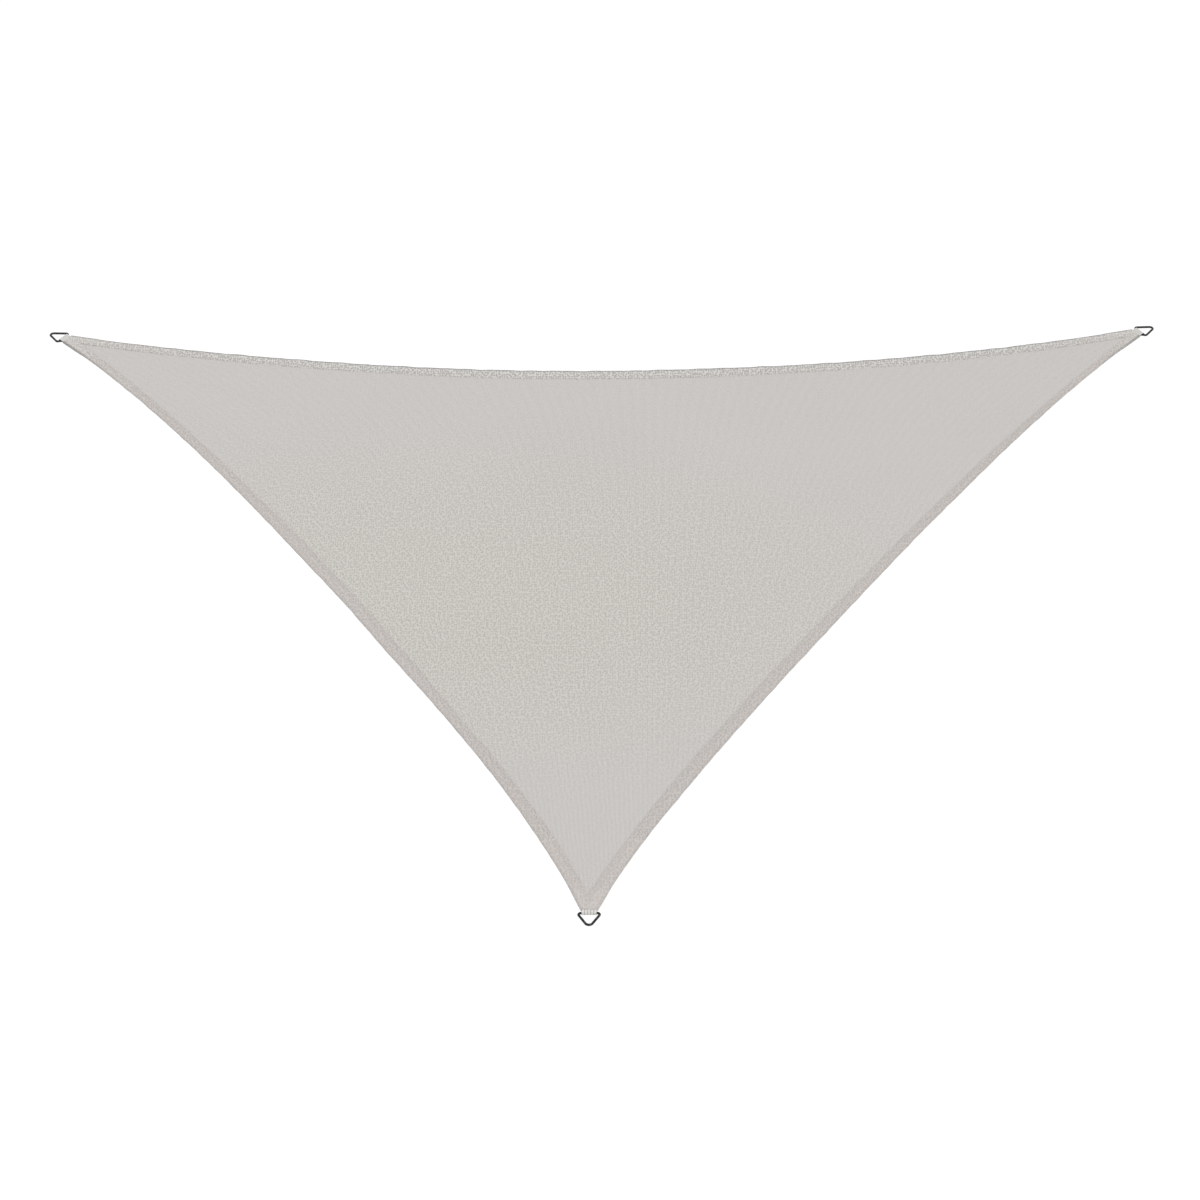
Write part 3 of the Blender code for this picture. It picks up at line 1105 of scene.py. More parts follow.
@dataclass(frozen=True)
class SailCloth:
    """The panel and its turned hems, one closed cloth with both its faces.

    The panel's grid has rows faces along a side, crowded towards the corners, and a hem has
    splits faces beside each. Rows of stitches lie stitch_lines out from a hem's inner fold
    and draw both faces in by stitch_dip, from dip_reach off a ring's bar onwards.
    """

    plan: SailPlan
    webbing: "WebbingLoop"
    rows: int = 150
    splits: int = 3
    crowding: float = 0.6
    rim_round: float = 0.0016
    fold_round: float = 0.0009
    corner_stations: int = 22
    stitch_lines: tuple[float, ...] = (0.0045, 0.0115)
    stitch_dip: float = 0.00035
    stitch_spread: float = 0.0009
    stitch_sides: tuple[float, ...] = (1.3, 0.5, -0.5, -1.3)
    dip_reach: float = 0.09
    dip_ease: float = 0.02
    flat_shares: tuple[float, ...] = (0.33, 0.67)
    swell: float = 0.0004
    swell_ease: float = 0.008

    def crowded(self, share: Array) -> Array:
        """Shares from 0 to 1 that lie closer together towards both ends."""
        return share - self.crowding * np.sin(math.tau * share) / math.tau

    def span(self, edge: int) -> tuple[float, float]:
        """Shares of an edge between which it lies beside the panel."""
        return self.plan.mitre(edge)[1], self.plan.mitre(next_corner(edge))[0]

    def strip_shares(self, edge: int) -> Array:
        """Shares of an edge at which its hem has stations beside the panel.

        Two of the stations between grid rows are moved to each step in the hem's
        thickness, so that the step is short.

        Args:
            edge: Which edge.

        Returns:
            Rising shares, every splits-th of them on a row of the panel's grid.
        """
        first, last = self.span(edge)
        count = self.rows * self.splits
        shares = first + (last - first) * self.crowded(np.arange(count + 1) / count)
        to_bars = self.plan.to_bars(self.hem_middle(edge, shares))
        half = count // 2
        pitch = (last - first) / (to_bars[half] - to_bars[0]) / 2.0
        for layers in self.plan.layers[1:]:
            starts = np.interp(layers.reach, to_bars[:half], shares[:half])
            stops = np.interp(layers.reach, to_bars[: half - 1 : -1], shares[: half - 1 : -1])
            for step, inward in ((starts, -1.0), (stops, 1.0)):
                cell = int(np.searchsorted(shares, step) - 1) // self.splits * self.splits
                pair = np.sort(step + inward * pitch * np.array((0.0, self.plan.step_run)))
                inside = np.clip(pair, shares[cell] + WELD, shares[cell + self.splits] - WELD)
                shares[cell + 1 : cell + 3] = inside
        return shares

    def hem_middle(self, edge: int, shares: Array) -> Array:
        """Level points midway between a hem's rim and its inner fold."""
        return self.plan.on_rim(edge, shares, self.plan.hem_width(edge, shares) / 2.0)

    def profile(self, widths: Array) -> Array:
        """Where a hem's cross-section has points, as shares of its width.

        Args:
            widths: The hem's width at each station.

        Returns:
            Shares from rim to inner fold, one row a station.
        """
        sides = self.stitch_spread * np.array(self.stitch_sides)
        lines = [line + side for line in reversed(self.stitch_lines) for side in sides]
        from_fold = np.concatenate((lines, rounding(self.fold_round)[::-1]))
        inner = 1.0 - from_fold / widths[:, None]
        outer = rounding(self.rim_round) / widths[:, None]
        flat = outer[:, -1:] + (inner[:, :1] - outer[:, -1:]) * np.array(self.flat_shares)
        return np.concatenate((outer, flat, inner), axis=1)

    def corner_shares(self, corner: int) -> Array:
        """Stations of the hems between a corner's square end and its mitre.

        Args:
            corner: Which corner.

        Returns:
            Shares of that way, from 0 at the square end to 1 at the mitre.
        """
        depth = self.mitre_depth(corner)
        body = np.linspace(self.rim_round, depth - self.fold_round, self.corner_stations)
        return np.concatenate((rounding(self.rim_round)[:-1], body)) / depth

    def mitre_point(self, corner: int) -> Array:
        """Level point at which the inner folds of two hems meet."""
        return self.plan.on_fold(corner, np.array((self.plan.mitre(corner)[1],)))[0]

    def mitre_depth(self, corner: int) -> float:
        """Distance from a corner's square end to its mitre."""
        return float(np.linalg.norm(self.mitre_point(corner) - self.plan.end_middle(corner)))

    def half_thickness(self, points: Array, inset: Array, fold: Array) -> Array:
        """Half of the cloth's thickness on a hem.

        Args:
            points: Level points, one a row.
            inset: Their distances in from the rim.
            fold: Their distances out from the hem's inner fold.

        Returns:
            One half thickness a point.
        """
        panel = self.plan.panel_thick / 2.0
        sewn = self.plan.sewn_thickness(points) / 2.0
        half = panel + (sewn - panel) * quarter_round(fold / self.fold_round)
        dip = self.stitch_dip * eased((self.plan.to_bars(points) - self.dip_reach) / self.dip_ease)
        for line in self.stitch_lines:
            half = half - dip * np.exp(-(((fold - line) / self.stitch_spread) ** 2))
        rim = np.minimum(inset, self.plan.to_ends(points))
        return (half + self.webbing_swell(points)) * quarter_round(rim / self.rim_round)

    def webbing_swell(self, points: Array) -> Array:
        """How far the webbing's legs inside a corner push its faces out.

        Args:
            points: Level points, one a row.

        Returns:
            One height a point.
        """
        total = np.zeros(len(points))
        for corner in self.plan.corners:
            offset = points - corner.bar
            ahead = (offset @ corner.away + self.webbing.tail) / self.swell_ease
            aside = (self.webbing.width / 2.0 - np.abs(offset @ corner.across)) / self.swell_ease
            total += self.swell * eased(ahead + 0.5) * eased(aside + 0.5)
        return total

    def strip(self, edge: int, shares: Array) -> Patch:
        """Lay out one hem, from corner to corner.

        In a corner the stations run from the rim to the line between the square end and
        the mitre, which both hems share.

        Args:
            edge: Which edge.
            shares: The edge's stations beside the panel.

        Returns:
            The hem.
        """
        after = next_corner(edge)
        first, last = shares[0], shares[-1]
        start, stop = self.corner_shares(edge), self.corner_shares(after)[::-1]
        places = np.concatenate((first * start, shares, 1.0 - (1.0 - last) * stop))
        rim = self.plan.on_rim(edge, places)
        at_fold = self.plan.on_fold(edge, shares)
        inner = np.vstack((self.corner_line(edge, start), at_fold, self.corner_line(after, stop)))
        before = (1.0 - start) * self.mitre_depth(edge)
        beyond = np.concatenate((before, 0.0 * shares, (1.0 - stop) * self.mitre_depth(after)))
        share_in = self.profile(self.plan.hem_width(edge, np.clip(places, first, last)))
        across = inner - rim
        level = rim[:, None] + across[:, None] * share_in[:, :, None]
        width = np.linalg.norm(across, axis=1)[:, None]
        inset = width * share_in
        fold = np.hypot(width - inset, beyond[:, None])
        points = level.reshape(-1, 2)
        half = self.half_thickness(points, inset.ravel(), fold.ravel())
        sewing = self.plan.reinforced(points)
        return Patch(points, half, inset.ravel(), sewing, grid_faces(*share_in.shape), Ply.HEM)

    def corner_line(self, corner: int, shares: Array) -> Array:
        """Level points on the line from a corner's square end to its mitre."""
        end, tip = self.plan.end_middle(corner), self.mitre_point(corner)
        return end + np.outer(shares, tip - end)

    def panel(self, stations: Sequence[Array]) -> Patch:
        """Lay out the panel inside the hems as a three-cornered grid.

        The sides' curves fade out towards the middle, and faces at the border take in
        the hems' stations between grid rows.

        Args:
            stations: Each edge's stations beside the panel.

        Returns:
            The panel.
        """
        rows = self.rows
        counts = np.array([(a, b, rows - a - b) for a in range(rows + 1) for b in range(rows + 1 - a)])
        number = {tuple(count): index for index, count in enumerate(counts.tolist())}
        pull = self.crowded(counts / rows)
        weight = pull / pull.sum(axis=1, keepdims=True)
        tips = np.array([self.mitre_point(corner) for corner in range(CORNER_COUNT)])
        level = weight @ tips
        for side in range(CORNER_COUNT):
            level += self.faded_curve(side, tips, weight)
        points = [level]
        between: dict[tuple[int, int], list[int]] = {}
        total = len(level)
        for side, shares in enumerate(stations):
            line = self.plan.on_fold(side, shares)
            for row in range(rows):
                begin = row * self.splits + 1
                points.append(line[begin : begin + self.splits - 1])
                between[side, row] = list(range(total, total + self.splits - 1))
                total += self.splits - 1
        faces = panel_faces(rows, number, between)
        level = np.concatenate(points)
        half = self.plan.panel_thick / 2.0 + self.webbing_swell(level)
        rim = np.full(len(level), RIM_REACH)
        return Patch(level, half, rim, np.zeros(len(level)), faces, Ply.PANEL)

    def faded_curve(self, side: int, tips: Array, weight: Array) -> Array:
        """How far one curved side moves grid points off the straight triangle.

        Args:
            side: Which side.
            tips: The grid's three corners.
            weight: Each point's weights of the three corners.

        Returns:
            A level move for each point.
        """
        here, there = weight[:, side], weight[:, next_corner(side)]
        reach = here + there
        share = np.divide(there, reach, out=np.zeros_like(there), where=reach > 0.0)
        first, last = self.span(side)
        on_side = self.plan.on_fold(side, first + (last - first) * share)
        straight = tips[side] + np.outer(share, tips[next_corner(side)] - tips[side])
        return (on_side - straight) * (reach**2)[:, None]

    def build(self, name: str, panel: KnitFinish, hem: KnitFinish) -> bpy.types.Object:
        """Build the cloth.

        Args:
            name: Name of the piece.
            panel: Finish of the single cloth.
            hem: Finish of the turned and sewn cloth.

        Returns:
            The cloth.
        """
        stations = [self.strip_shares(edge) for edge in range(CORNER_COUNT)]
        patches = [self.panel(stations)]
        patches += [self.strip(edge, shares) for edge, shares in enumerate(stations)]
        return self.joined(name, patches, (panel.material(), hem.material()))

    def joined(
        self, name: str, patches: Sequence[Patch], materials: Sequence[bpy.types.Material]
    ) -> bpy.types.Object:
        """Hang patches and join them into one closed cloth.

        Args:
            name: Name of the piece.
            patches: The patches, whose shared seams are welded.
            materials: One material for each ply.

        Returns:
            The new object.
        """
        level = np.concatenate([patch.level for patch in patches])
        half = np.concatenate([patch.half for patch in patches])
        middle = self.plan.heights(level)
        both = [np.column_stack((level, middle + face.value * half)) for face in Face]
        faces, slots, count = [], [], 0
        for patch in patches:
            faces += [[count + corner for corner in face] for face in patch.faces]
            slots += [patch.ply.value] * len(patch.faces)
            count += len(patch.level)
        faces += [[count + corner for corner in reversed(face)] for face in faces]
        rim = np.concatenate([np.minimum(patch.rim, RIM_REACH) for patch in patches])
        sewing = np.concatenate([patch.sewing for patch in patches])
        layers = {RIM_LAYER: np.tile(rim, 2), SEWN_LAYER: np.tile(sewing, 2)}
        return dressed_object(name, np.vstack(both).tolist(), faces, materials, slots * 2, layers)


def panel_faces(
    rows: int,
    number: Mapping[tuple[int, ...], int],
    between: Mapping[tuple[int, int], Sequence[int]],
) -> list[list[int]]:
    """Faces of the three-cornered grid.

    Args:
        rows: How many rows of faces it has.
        number: Point number of each set of three counts.
        between: Points on the border between two grid points, by side and row.

    Returns:
        Point numbers of each face, anticlockwise from above.
    """
    faces = []
    for first in range(rows):
        for second in range(rows - first):
            third = rows - 1 - first - second
            tips = (
                number[first + 1, second, third],
                number[first, second + 1, third],
                number[first, second, third + 1],
            )
            borders = ((third, 0, second), (first, 1, third), (second, 2, first))
            sides = [
                [tips[at], *([] if inside else between[side, row]), tips[next_corner(at)]]
                for at, (inside, side, row) in enumerate(borders)
            ]
            faces += cell_faces(sides)
            if third > 0:
                faces.append(
                    [
                        number[first + 1, second + 1, third - 1],
                        number[first, second + 1, third],
                        number[first + 1, second, third],
                    ]
                )
    return faces


def cell_faces(sides: Sequence[Sequence[int]]) -> list[list[int]]:
    """Faces of a three-sided cell, of which one or two sides may be split.

    Args:
        sides: Point numbers along each side, with both of its ends, anticlockwise.

    Returns:
        Point numbers of each face.
    """
    split = [at for at, side in enumerate(sides) if len(side) > 2]
    if not split:
        return [[side[0] for side in sides]]
    if len(split) == 1:
        side, apex = sides[split[0]], sides[split[0] - 1][0]
        return [[apex, begin, end] for begin, end in zip(side, side[1:])]
    before, after = (sides[at] for at in split)
    if before[-1] != after[0]:
        before, after = after, before
    back = before[::-1]
    rest = range(1, len(back) - 1)
    tip = [back[0], after[1], back[1]]
    return [tip] + [[after[at], after[at + 1], back[at + 1], back[at]] for at in rest]


# ---------------------------------------------------------------- sewing


@dataclass(frozen=True)
class StitchShape:
    """One visible stitch: a short length of thread that dips into the cloth at both ends.

    raised and dipped are shares of the thread's thickness, and full is the share of the
    length, from the middle on, over which the thread is round. A row's direction is read
    over look to either side of a stitch.
    """

    pitch: float = 0.0044
    length: float = 0.0037
    thread: float = 0.0008
    raised: float = 0.15
    dipped: float = 0.35
    full: float = 0.3
    sides: int = 6
    look: float = 0.001

    def points(self) -> Array:
        """Shape one stitch along X, with the cloth's face at height 0.

        Returns:
            Its points: the tail, two rings and the tip.
        """
        angles = even_angles(self.sides)
        ring = np.column_stack((0.0 * angles, np.cos(angles), np.sin(angles)))
        ring = ring * self.thread / 2.0 + np.array((0.0, 0.0, self.raised * self.thread))
        shift = np.array((self.full * self.length, 0.0, 0.0))
        tip = np.array((0.5 * self.length, 0.0, -self.dipped * self.thread))
        tail = tip * np.array((-1.0, 1.0, 1.0))
        return np.vstack((tail, ring - shift, ring + shift, tip))

    def faces(self) -> list[tuple[int, ...]]:
        """Faces of one stitch.

        Returns:
            Point numbers of each face, anticlockwise from outside.
        """
        sides, last = self.sides, 2 * self.sides + 1
        faces: list[tuple[int, ...]] = []
        for place in range(sides):
            here, beside = 1 + place, 1 + (place + 1) % sides
            faces.append((0, beside, here))
            faces.append((here, beside, beside + sides, here + sides))
            faces.append((here + sides, beside + sides, last))
        return faces

    def along(self, line: Array, face: Face) -> Array:
        """Points of a row of stitches.

        Args:
            line: Points of the row on the cloth's face.
            face: The face that the row is on.

        Returns:
            Points by stitch, place in the stitch, and axis.
        """
        length = arc_lengths(line)[-1]
        count = max(1, int(length / self.pitch))
        places = (np.arange(count) + 0.5) * length / count
        middle = resampled(line, places)
        ahead = unit(resampled(line, places + self.look) - resampled(line, places - self.look))
        up = np.array((0.0, 0.0, face.value))
        aside = unit(np.cross(up, ahead))
        rise = np.cross(ahead, aside)
        axes = np.stack((ahead, aside, rise), axis=1)
        return middle[:, None] + np.einsum("pa,sab->spb", self.points(), axes)


@dataclass(frozen=True)
class Seam:
    """A line of sewing, by its level points and how far they lie from a rim and a fold."""

    points: Array
    inset: Array
    fold: Array


@dataclass(frozen=True)
class Sewing:
    """Rows of stitches along the hems and across the corners.

    cross_places are how far inside each step of a hem's thickness its cross seams lie. The
    crossed box lies from box_from to box_to inside the bar, deep in from any rim or fold,
    and box_gap is the share of each of its lines that stays free at either end.
    """

    cloth: SailCloth
    stitch: StitchShape
    cross_places: tuple[tuple[float, ...], ...] = ((0.006,), (0.006, 0.0072, 0.0084))
    box_from: float = 0.0165
    box_to: float = 0.0375
    box_width: float = 0.028
    box_gap: float = 0.03
    box_deep: float = 1.0
    margin: float = 0.002
    hem_points: int = 900
    search_points: int = 400
    cross_points: int = 40
    box_points: int = 30

    def hem_seams(self, edge: int) -> list[Seam]:
        """Lay out the rows that hold a hem down.

        Args:
            edge: Which edge the hem is on.

        Returns:
            One seam a row.
        """
        plan, seams = self.cloth.plan, []
        for line in self.cloth.stitch_lines:
            first, last = plan.mitre(edge, line)[1], plan.mitre(next_corner(edge), line)[0]
            even = np.linspace(0.0, 1.0, self.hem_points)
            shares = first + (last - first) * self.cloth.crowded(even)
            inset = plan.hem_width(edge, shares) - line
            seams.append(Seam(plan.on_fold(edge, shares, line), inset, np.full(len(shares), line)))
        return seams

    def cross_seams(self, edge: int) -> list[Seam]:
        """Lay out the seams across a hem where its reinforcement ends, near both corners.

        Args:
            edge: Which edge the hem is on.

        Returns:
            The seams.
        """
        plan, seams = self.cloth.plan, []
        shares = np.linspace(0.0, 0.5, self.search_points)
        for layers, places in zip(plan.layers[1:], self.cross_places):
            for place in places:
                for way in (shares, 1.0 - shares):
                    gaps = plan.to_bars(self.cloth.hem_middle(edge, way))
                    share = np.array((np.interp(layers.reach - place, gaps, way),))
                    width = plan.hem_width(edge, share)[0]
                    insets = np.linspace(self.margin, width - self.margin, self.cross_points)
                    points = np.vstack([plan.on_rim(edge, share, inset) for inset in insets])
                    seams.append(Seam(points, insets, width - insets))
        return seams

    def box_seams(self, corner: int) -> list[Seam]:
        """Lay out the crossed box that holds the webbing's legs.

        Args:
            corner: Which corner.

        Returns:
            One seam for each of its lines.
        """
        side = self.box_width / 2.0
        near, far = -self.box_from, -self.box_to
        turns = ((near, -side), (near, side), (far, side), (far, -side))
        runs = [(turns[place - 1], turns[place]) for place in range(len(turns))]
        runs += [(turns[0], turns[2]), (turns[1], turns[3])]
        seams = []
        for begin, end in runs:
            share = np.linspace(self.box_gap, 1.0 - self.box_gap, self.box_points)[:, None]
            spots = np.array(begin) * (1.0 - share) + np.array(end) * share
            points = self.cloth.plan.corners[corner].level(spots[:, 0], spots[:, 1])
            deep = np.full(len(points), self.box_deep)
            seams.append(Seam(points, deep, deep))
        return seams

    def stitched(self, seam: Seam, face: Face) -> Array:
        """Stitch a seam on one face of the cloth.

        Args:
            seam: The seam.
            face: Which face.

        Returns:
            Points by stitch, place in the stitch, and axis.
        """
        half = self.cloth.half_thickness(seam.points, seam.inset, seam.fold)
        heights = self.cloth.plan.heights(seam.points) + face.value * half
        return self.stitch.along(np.column_stack((seam.points, heights)), face)

    def build(self, name: str, seams: Sequence[Seam], finish: ThreadFinish) -> bpy.types.Object:
        """Build one piece of sewing, which shows on both faces of the cloth.

        Args:
            name: Name of the piece.
            seams: Its seams.
            finish: The thread.

        Returns:
            The stitches as one object.
        """
        points = np.concatenate([self.stitched(seam, face) for face in Face for seam in seams])
        each = points.shape[1]
        faces = [
            tuple(index * each + corner for corner in shape)
            for index in range(len(points))
            for shape in self.stitch.faces()
        ]
        return dressed_object(name, points.reshape(-1, 3).tolist(), faces, (finish.material(),))


# ---------------------------------------------------------------- webbing and rings


@dataclass(frozen=True)
class WebbingLoop:
    """Woven strap folded round a ring's bar, its two legs sewn into the corner.

    Its cords stand up by rib from the strap's thickness, as rounded ridges of the power
    cord_round about cord_level, and pick_share of that is the picks.
    """

    wire: float
    width: float = 0.035
    thick: float = 0.0013
    tail: float = 0.0405
    fit: float = 0.0003
    mouth: float = 0.0123
    pick: float = 0.0018
    cord: float = 0.007
    rib: float = 0.00028
    cord_round: float = 0.7
    cord_level: float = 0.6
    pick_share: float = 0.3
    selvedge: int = 14
    step: float = 0.0004
    columns: int = 40
    wrap_steps: int = 60

    def middle_line(self) -> Array:
        """Lead the strap round the bar.

        Returns:
            Points of the middle of its thickness in the X-Z plane, from tail to tail.
        """
        leg = (self.fit + self.thick) / 2.0
        wrap = self.wire / 2.0 + self.fit + self.thick / 2.0
        meet = math.atan2(leg, -self.mouth) - math.acos(wrap / math.hypot(self.mouth, leg))
        angles = np.linspace(meet, -meet, self.wrap_steps)
        bend = np.column_stack((np.cos(angles), np.sin(angles))) * wrap
        top = ((-self.tail, leg), (-self.mouth, leg))
        line = np.vstack((top, bend, ((-self.mouth, -leg), (-self.tail, -leg))))
        return resampled(line, np.arange(0.0, arc_lengths(line)[-1], self.step))

    def sections(self) -> Array:
        """Cross-sections of the strap, with its cords and rounded selvedges.

        Returns:
            Points by station, place round the section, and axis.
        """
        line = self.middle_line()
        ahead = unit(np.gradient(line, axis=0))
        outward = left_of(ahead)
        even = np.linspace(-0.5, 0.5, self.columns + 1)
        aside = (even + np.sin(math.pi * even) / 2.0) / 2.0 * self.width
        half = self.thick / 2.0 * (1.0 - np.abs(2.0 * aside / self.width) ** self.selvedge) ** 0.5
        run = arc_lengths(line)[:, None] / self.pick + np.round(aside / self.cord) / 2.0
        weave = np.abs(np.cos(math.pi * aside / self.cord)) ** self.cord_round - self.cord_level
        weave = weave + self.pick_share * np.cos(math.tau * run)
        lift = half + self.rib * weave * half / half.max()
        faces = []
        for sign, order in ((1.0, slice(None)), (-1.0, slice(-2, 0, -1))):
            offset = sign * lift[:, order, None] * outward[:, None]
            spots = line[:, None] + offset
            across = np.broadcast_to(aside[order], spots.shape[:2])
            faces.append(np.stack((spots[..., 0], across, spots[..., 1]), axis=-1))
        return np.concatenate(faces, axis=1)

    def build(self, name: str, corner: Corner, slope: float) -> bpy.types.Object:
        """Build one loop.

        Args:
            name: Name of the piece.
            corner: The corner that it is on.
            slope: Slope at which it leaves the cloth.

        Returns:
            The loop.
        """
        sections = self.sections()
        across = np.append(sections[0, :, 1], sections[0, 0, 1])
        placed = moved(sections, corner.frame_at(slope))
        finish = WebbingFinish(self.cord, self.pick).material()
        return swept_object(name, placed, across, finish, closed=False)


@dataclass(frozen=True)
class WireRing:
    """Ring of round wire with a straight bar and a rounded tip."""

    sizes: RingSizes
    bend_steps: int = 22
    run_step: float = 0.002
    sides: int = 28

    def path(self) -> Array:
        """Bend the wire's middle line as a belt round three bends.

        Returns:
            Its level points in the bar's frame, anticlockwise, without the first again.
        """
        sizes = self.sizes
        bends = (
            (np.array((sizes.bar_bend, sizes.bar_bend - sizes.width / 2.0)), sizes.bar_bend),
            (np.array((sizes.length - sizes.tip_bend, 0.0)), sizes.tip_bend),
            (np.array((sizes.bar_bend, sizes.width / 2.0 - sizes.bar_bend)), sizes.bar_bend),
        )
        leaving = []
        for index, (middle, radius) in enumerate(bends):
            next_middle, next_radius = bends[(index + 1) % len(bends)]
            run = next_middle - middle
            lean = math.acos((radius - next_radius) / np.linalg.norm(run))
            leaving.append(math.atan2(run[1], run[0]) - lean)
        pieces = []
        for index, (middle, radius) in enumerate(bends):
            turn = (leaving[index] - leaving[index - 1]) % math.tau
            angles = leaving[index - 1] + turn * np.linspace(0.0, 1.0, self.bend_steps)
            arc = middle + radius * np.column_stack((np.cos(angles), np.sin(angles)))
            if pieces:
                pieces.append(self.straight(pieces[-1][-1], arc[0]))
            pieces.append(arc)
        pieces.append(self.straight(pieces[-1][-1], pieces[0][0]))
        return np.concatenate(pieces)

    def straight(self, begin: Array, end: Array) -> Array:
        """Evenly spaced points of a straight run between two ends, without the ends."""
        count = max(2, int(np.linalg.norm(end - begin) / self.run_step))
        return begin + np.outer(np.arange(1, count) / count, end - begin)

    def build(self, name: str, corner: Corner, finish: SteelFinish) -> bpy.types.Object:
        """Build one ring.

        Args:
            name: Name of the piece.
            corner: The corner that it is on.
            finish: The steel.

        Returns:
            The ring.
        """
        path = self.path()
        ahead = unit(np.roll(path, -1, axis=0) - np.roll(path, 1, axis=0))
        outward = -left_of(ahead)
        angles, radius = even_angles(self.sides), self.sizes.wire / 2.0
        level = path[:, None] + outward[:, None] * np.cos(angles)[None, :, None] * radius
        rise = np.broadcast_to(np.sin(angles) * radius, level.shape[:2])
        sections = moved(np.concatenate((level, rise[..., None]), axis=2), corner.frame_at(0.0))
        across = np.append(angles, math.tau) * radius
        return swept_object(name, sections, across, finish.material(), closed=True)


# ---------------------------------------------------------------- studio


@dataclass(frozen=True)
class Studio:
    """Pale floor, soft light and the camera."""

    floor_drop: float = 5.0
    floor_size: float = 160.0
    sky_strength: float = 0.80
    key_strength: float = 0.95
    key_spread_deg: float = 40.0
    key_aim: tuple[float, float, float] = (-0.35, 0.12, -1.0)
    stand: tuple[float, float, float] = (0.1735, -7.4373, 5.8890)
    aim: tuple[float, float, float] = (0.0119, 1.3140, 0.0)
    roll_deg: float = -0.866
    lens: float = 125.32
    sensor: float = 36.0
    view_reach: float = 640.0

    def lay_floor(self, finish: FloorFinish) -> None:
        """Lay the floor below the sail.

        Args:
            finish: The floor's finish.
        """
        side = self.floor_size / 2.0
        signs = ((-1, -1), (1, -1), (1, 1), (-1, 1))
        corners = [(x * side, y * side, -self.floor_drop) for x, y in signs]
        dressed_object("floor", corners, [(0, 1, 2, 3)], (finish.material(),))

    def light(self) -> None:
        """Light the studio evenly, with a wide key light from behind on the right."""
        world = bpy.data.worlds.new("studio_light")
        world.use_nodes = True
        backdrop = world.node_tree.nodes["Background"]
        backdrop.inputs["Color"].default_value = (1.0, 1.0, 1.0, 1.0)
        backdrop.inputs["Strength"].default_value = self.sky_strength
        bpy.context.scene.world = world
        key = bpy.data.lights.new("key", "SUN")
        key.energy = self.key_strength
        key.angle = math.radians(self.key_spread_deg)
        lamp = bpy.data.objects.new("key", key)
        lamp.rotation_euler = Vector(self.key_aim).to_track_quat("-Z", "Y").to_euler()
        bpy.context.collection.objects.link(lamp)
        bpy.context.scene.view_settings.view_transform = "Standard"

    def set_camera(self) -> None:
        """Stand the camera where the picture was taken from."""
        data = bpy.data.cameras.new("camera")
        data.lens = self.lens
        data.sensor_width = self.sensor
        data.sensor_fit = "HORIZONTAL"
        data.clip_end = self.view_reach
        camera = bpy.data.objects.new("camera", data)
        view = Vector(self.aim) - Vector(self.stand)
        turn = view.to_track_quat("-Z", "Y").to_matrix().to_4x4()
        roll = Matrix.Rotation(math.radians(self.roll_deg), 4, "Z")
        camera.matrix_world = Matrix.Translation(self.stand) @ turn @ roll
        bpy.context.collection.objects.link(camera)
        bpy.context.scene.camera = camera


# ---------------------------------------------------------------- the whole sail

RING = RingSizes()
PANEL_THICK = 0.0016
CLOTH_NODE = "sail_cloth"

EDGE_CUTS = (
    EdgeCut(
        cut=0.106,
        fullness=2.64,
        lean=0.036,
        drawn=(4.9, 5.0, 1.6, 0.9, 2.2, 4.0, 4.0, 1.8, 3.3, 4.8, 5.0),
        fold=(41.5, 42.5, 41.5, 39.0, 38.5, 38.0, 35.0, 30.5, 27.0, 25.0, 26.0),
    ),
    EdgeCut(
        cut=0.114,
        fullness=1.94,
        lean=-0.052,
        drawn=(3.6, 4.8, 5.5, 5.2, 3.0, 5.2, 6.2, 5.2, 3.4, 3.6, 4.4),
        fold=(33.5, 41.5, 45.0, 44.5, 46.5, 46.5, 48.0, 44.5, 42.5, 39.0, 34.5),
    ),
    EdgeCut(
        cut=0.121,
        fullness=2.70,
        lean=-0.040,
        drawn=(5.8, 5.2, 4.1, 3.6, 4.0, 6.6, 1.8, 3.3, 4.6, 4.0, 3.6),
        fold=(34.0, 35.0, 34.5, 36.5, 42.5, 46.0, 40.5, 34.5, 39.0, 40.5, 35.0),
    ),
)
HEM_LAYERS = (Layers(0.0, 0.0064), Layers(0.10, 0.0046), Layers(0.32, 0.0032))
# For each corner, its creases: bearing in degrees, start, reach, width and rise.
CORNER_CREASES = (
    (
        (-8.0, 0.10, 0.85, 0.040, 0.0016),
        (2.5, 0.09, 1.10, 0.050, -0.0019),
        (11.0, 0.14, 0.70, 0.036, 0.0013),
    ),
    (
        (-10.5, 0.12, 0.80, 0.038, -0.0015),
        (-1.0, 0.10, 1.20, 0.052, 0.0017),
        (9.0, 0.12, 0.90, 0.042, -0.0014),
    ),
    (
        (-9.5, 0.11, 0.95, 0.040, 0.0014),
        (0.5, 0.10, 1.05, 0.048, -0.0017),
        (10.0, 0.13, 0.75, 0.036, 0.0015),
    ),
)
CREASES = tuple(Crease(corner, *sizes) for corner, some in enumerate(CORNER_CREASES) for sizes in some)

PANEL_FINISH = KnitFinish(
    name="knit_panel",
    tone=(0.606, 0.578, 0.558),
    weighted_tone=(0.600, 0.576, 0.536),
    grain=Grain(middle=(-0.45, 1.40), spread=(1.7, 1.0), strength=0.9, least=0.25),
)
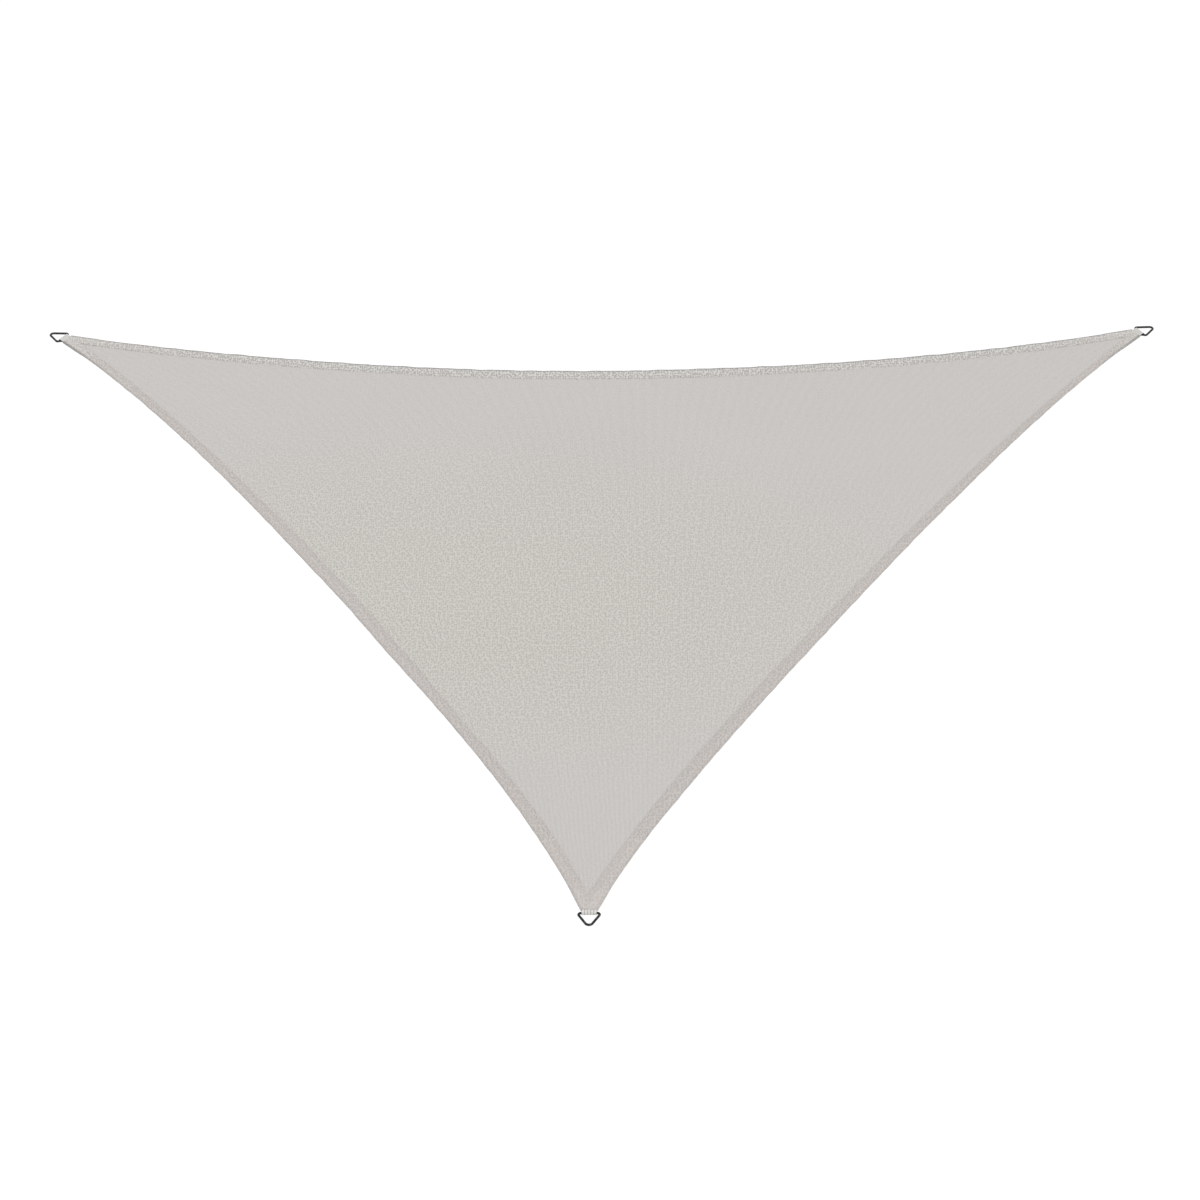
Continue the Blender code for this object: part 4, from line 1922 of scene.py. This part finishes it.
# The middle of the hem's grain lies far behind the sail, so that it follows the back edge. There its weight
# also lifts the hem to its second, lighter tone as painted light, and deepens the painted shade on its rim.
HEM_GRAIN = Grain(
    middle=(0.0, 9.13),
    spread=(6.7, 6.7),
    strength=1.7,
    least=0.42,
    tint=0.15,
    reach=(0.972, 1.045),
)
# The hem's second tone is lighter: painted light on the back edge.
HEM_FINISH = KnitFinish(
    name="knit_hem",
    tone=(0.566, 0.530, 0.505),
    weighted_tone=(0.594, 0.576, 0.551),
    grain=HEM_GRAIN,
    # Painted shade along the hem's rim.
    painted_rim_shade=0.54,
)
HEM_THREAD = ThreadFinish("hem_thread", (0.52, 0.50, 0.475))
CORNER_THREAD = ThreadFinish("corner_thread", (0.80, 0.785, 0.76))


def corners_of(record: Mapping[str, object], names: Sequence[str]) -> tuple[Corner, ...]:
    """Find the corners from the record's hook points.

    Args:
        record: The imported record.
        names: The corners' names, anticlockwise from above.

    Returns:
        The corners in that order.
    """
    mounts = {mount["name"]: mount for mount in record["mounts"]}
    corners = []
    for name in names:
        mount = mounts[f"{name}_ring_hook"]
        away = unit(np.array(mount["axis"][:2]))
        corners.append(Corner(name, np.array(mount["pos_m"][:2]) - away * RING.hook_reach, away))
    return tuple(corners)


def hang(piece: bpy.types.Object, slot: str, *nodes: str) -> bpy.types.Object:
    """Fix a piece to the model in place of the solids that it stands for, which are hidden.

    Args:
        piece: The piece.
        slot: Not used.
        nodes: The solids that it stands for.

    Returns:
        The piece.
    """
    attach(piece, ROOT_BODY)
    if nodes:
        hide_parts(*nodes)
    log.info("%s: %d faces", piece.name, len(piece.data.polygons))
    return piece


def main() -> None:
    """Build the sail piece by piece, and the studio round it."""
    logging.basicConfig(level=logging.INFO, format="%(name)s: %(message)s")
    drop = -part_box(CLOTH_NODE)[0].z - PANEL_THICK / 2.0
    corners = corners_of(frame["record"], ("near", "right", "left"))
    plan = SailPlan(corners, EDGE_CUTS, HEM_LAYERS, CREASES, HemWaves(), PANEL_THICK, drop)
    webbing = WebbingLoop(RING.wire)
    maker = SailCloth(plan, webbing)
    cloth = hang(maker.build("sail_knit", PANEL_FINISH, HEM_FINISH), "knit", CLOTH_NODE)
    sewing = Sewing(maker, StitchShape())
    for index, corner in enumerate(corners):
        at_corner = sewing.cross_seams(index) + sewing.box_seams(index)
        for kind, seams, thread in (
            ("hem_stitches_from", sewing.hem_seams(index), HEM_THREAD),
            ("corner_stitches", at_corner, CORNER_THREAD),
        ):
            stitches = sewing.build(f"{kind}_{corner.name}", seams, thread)
            hang(stitches, "knit")
    for corner in corners:
        loop = webbing.build(f"webbing_{corner.name}", corner, plan.corner_slope)
        hang(loop, "webbing", f"webbing_loop_{corner.name}")
        ring = WireRing(RING).build(f"ring_{corner.name}", corner, SteelFinish())
        hang(ring, "steel", f"corner_ring_{corner.name}")
    studio = Studio()
    studio.lay_floor(FloorFinish())
    studio.light()
    studio.set_camera()


if __name__ == "__main__":
    main()
